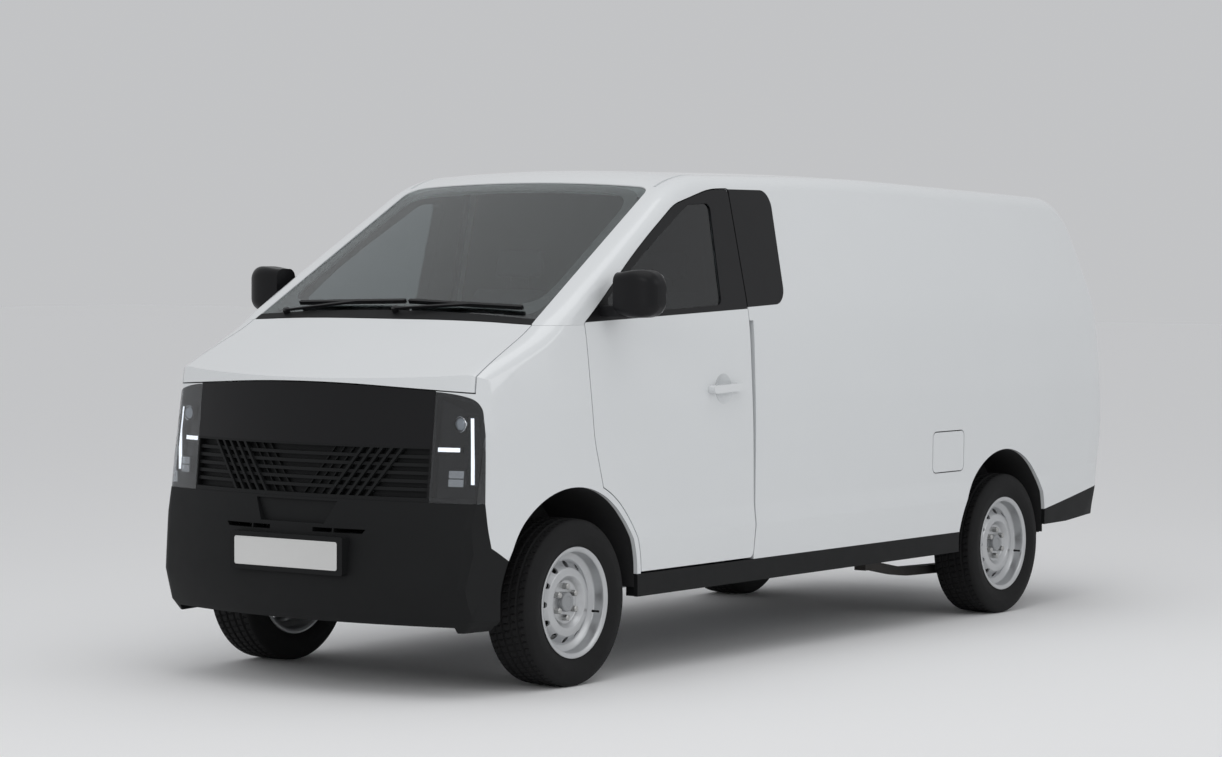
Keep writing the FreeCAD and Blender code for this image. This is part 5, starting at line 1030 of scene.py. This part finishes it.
@dataclass
class Seats:
    """Two front seats: stuffed pads with sewn channels, on plain bases, with head restraints on rods.

    The pads' outlines are pairs of Y and Z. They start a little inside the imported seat, and swell under
    pressure as cloth does.
    """

    middle: float = 0.380
    cushion: Pairs = ((-1.236, 0.752), (-1.240, 0.862), (-1.140, 0.894), (-0.865, 0.872), (-0.848, 0.752))
    back: Pairs = ((-0.826, 0.898), (-0.714, 1.500), (-0.684, 1.546), (-0.642, 1.546), (-0.678, 1.000),
                   (-0.684, 0.898))
    head: Pairs = ((-0.682, 1.586), (-0.654, 1.708), (-0.622, 1.708), (-0.620, 1.586))
    halves: tuple[float, float, float] = (0.238, 0.232, 0.122)
    edge_round: float = 0.022
    round_steps: int = 3
    voxel: float = 0.014
    swell: float = 0.012
    pressure: float = 4.0
    cloth_quality: int = 4
    frames: int = 14
    channel_places: tuple[float, ...] = (-0.135, 0.135)
    channel_deep: float = 0.007
    channel_half: float = 0.006
    cross_places: tuple[float, ...] = (0.30, 0.55, 0.80)
    cross_pitch: float = 0.55
    back_low: float = 0.9
    back_tall: float = 0.65
    cushion_rear: float = -0.85
    cushion_long: float = 0.39
    head_low: float = 1.565
    fill: float = 0.7
    base_half: float = 0.205
    base_round: float = 0.03
    base_stretch: float = 1.02
    base_middle: float = -0.935
    base_low: float = 0.5765
    base_tall: float = 0.172
    rod_apart: float = 0.05
    rod_radius: float = 0.006
    rod_long: float = 0.06
    rod_foot: tuple[float, float] = (-0.652, 1.535)
    rod_lean: tuple[float, float, float] = (0.0, 0.05, 1.0)
    rod_segments: int = 16

    def prism(self, outline: Pairs, half: float) -> bmesh.types.BMesh:
        """A pad's starting block: its outline between two sides, with its edges rounded over."""
        work = bmesh.new()
        near = [work.verts.new((self.middle - half, y, z)) for y, z in outline]
        far = [work.verts.new((self.middle + half, y, z)) for y, z in outline]
        count = len(outline)
        work.faces.new(near)
        work.faces.new(far[::-1])
        for i in range(count):
            work.faces.new((near[i], far[i], far[(i + 1) % count], near[(i + 1) % count]))
        bmesh.ops.recalc_face_normals(work, faces=work.faces)
        bmesh.ops.bevel(work, geom=work.edges[:], offset=self.edge_round, segments=self.round_steps,
                        affect="EDGES", profile=0.5)
        return work

    def block(self) -> bpy.types.Object:
        """The three starting blocks of one seat in one object."""
        mesh = bpy.data.meshes.new("seat_pads")
        joined_work = bmesh.new()
        for outline, half in zip((self.cushion, self.back, self.head), self.halves):
            work = self.prism(outline, half)
            part = bpy.data.meshes.new("pad")
            work.to_mesh(part)
            work.free()
            joined_work.from_mesh(part)
            bpy.data.meshes.remove(part)
        joined_work.to_mesh(mesh)
        joined_work.free()
        made = bpy.data.objects.new("seat_pads", mesh)
        bpy.context.scene.collection.objects.link(made)
        return made

    def remesh(self, pads: bpy.types.Object) -> None:
        """Covers the blocks with an even net of small faces."""
        net = pads.modifiers.new("net", "REMESH")
        net.mode = "VOXEL"
        net.voxel_size = self.voxel
        self.apply(pads)

    def apply(self, pads: bpy.types.Object) -> None:
        """Makes what the modifiers show the pads' own mesh."""
        depsgraph = bpy.context.evaluated_depsgraph_get()
        shown = bpy.data.meshes.new_from_object(pads.evaluated_get(depsgraph))
        pads.modifiers.clear()
        old = pads.data
        pads.data = shown
        bpy.data.meshes.remove(old)

    def stuff(self, pads: bpy.types.Object) -> None:
        """Swells the pads under pressure, no point further than the swell."""
        start = np.empty(len(pads.data.vertices) * 3, np.float32)
        pads.data.vertices.foreach_get("co", start)
        cloth = pads.modifiers.new("cloth", "CLOTH")
        cloth.settings.use_pressure = True
        cloth.settings.uniform_pressure_force = self.pressure
        cloth.settings.effector_weights.gravity = 0
        cloth.settings.quality = self.cloth_quality
        cloth.collision_settings.use_collision = False
        cloth.point_cache.frame_start = 1
        cloth.point_cache.frame_end = self.frames
        scene = bpy.context.scene
        for number in range(1, self.frames + 1):
            scene.frame_set(number)
        self.apply(pads)
        scene.frame_set(1)
        now = np.empty_like(start)
        pads.data.vertices.foreach_get("co", now)
        move = (now - start).reshape(-1, 3)
        far = np.linalg.norm(move, axis=1, keepdims=True)
        move *= np.minimum(1.0, self.swell / np.maximum(far, 1e-9))
        pads.data.vertices.foreach_set("co", (start.reshape(-1, 3) + move).ravel())
        pads.data.update()

    def sew(self, pads: bpy.types.Object) -> None:
        """Presses the sewn channels in: two down each pad, and cross seams between them."""
        count = len(pads.data.vertices)
        points = np.empty(count * 3, np.float32)
        normals = np.empty(count * 3, np.float32)
        pads.data.vertices.foreach_get("co", points)
        pads.data.vertices.foreach_get("normal", normals)
        points, normals = points.reshape(-1, 3), normals.reshape(-1, 3)
        x = points[:, 0] - self.middle
        on_head = points[:, 2] > self.head_low
        along = np.where(points[:, 2] > self.back_low, (points[:, 2] - self.back_low) / self.back_tall,
                         (self.cushion_rear - points[:, 1]) / self.cushion_long)
        press = np.zeros(count)
        for place in self.channel_places:
            press = np.maximum(press, np.exp(-((x - place) / self.channel_half) ** 2))
        inner = np.abs(x) < max(self.channel_places)
        for place in self.cross_places:
            near = np.exp(-((along - place) * self.cross_pitch / self.channel_half) ** 2)
            press = np.maximum(press, np.where(inner, near, 0))
        press = np.where(on_head, 0, press)
        points = points - normals * (press * self.channel_deep)[:, None]
        pads.data.vertices.foreach_set("co", points.ravel())
        pads.data.update()

    def bases(self) -> None:
        """The plain bases under the pads and the head restraints' rods."""
        parts = []
        for sign in (1, -1):
            mid = sign * self.middle
            flat = rounded_outline(self.base_half, self.base_half, self.base_round)
            outline = np.stack([flat[:, 0] + mid, flat[:, 1] * self.base_stretch + self.base_middle,
                                np.full(len(flat), self.base_low)], -1)
            parts.append(slab(outline, Vector((0, 0, self.base_tall))))
            rod = [(0, 0), (0, self.rod_radius), (self.rod_long, self.rod_radius), (self.rod_long, 0)]
            for across in (-self.rod_apart, self.rod_apart):
                foot = Vector((mid + across, *self.rod_foot))
                parts.append(lathe(rod, self.rod_segments, foot, Vector(self.rod_lean)))
        piece("seat_bases", closed_mesh("bases", joined(parts)), TRIM, body_of_node("seats"), "seats")

    def build(self) -> None:
        """Makes one seat's pads, and the other seat as its mirror image."""
        pads = self.block()
        self.remesh(pads)
        self.stuff(pads)
        self.sew(pads)
        smooth = pads.modifiers.new("smooth", "SUBSURF")
        smooth.levels = smooth.render_levels = 1
        self.apply(pads)
        other = pads.data.copy()
        other.transform(Matrix.Scale(-1, 4, Vector((1, 0, 0))))
        other.flip_normals()
        for word, mesh in (("left", pads.data), ("right", other)):
            mesh.shade_smooth()
            made = piece(f"seat_pads_{word}", mesh, CABIN_CLOTH, body_of_node("seats"), "seats")
        bpy.data.objects.remove(pads)
        self.bases()


def main() -> None:
    """Builds the studio and every sub-assembly in order."""
    logging.basicConfig(level=logging.INFO, format="%(message)s")
    Studio().build()
    Skins().build()
    for corner in Corner:
        Tyre(corner).build()
        WheelFittings(corner).build()
    for side in Side:
        HeadlampUnits(side).build()
        MirrorGlass(side).build()
        TailLampSegments(side).build()
    BlankPlate().build()
    ScreenBorder().build()
    Seats().build()


if __name__ == "__main__":
    main()
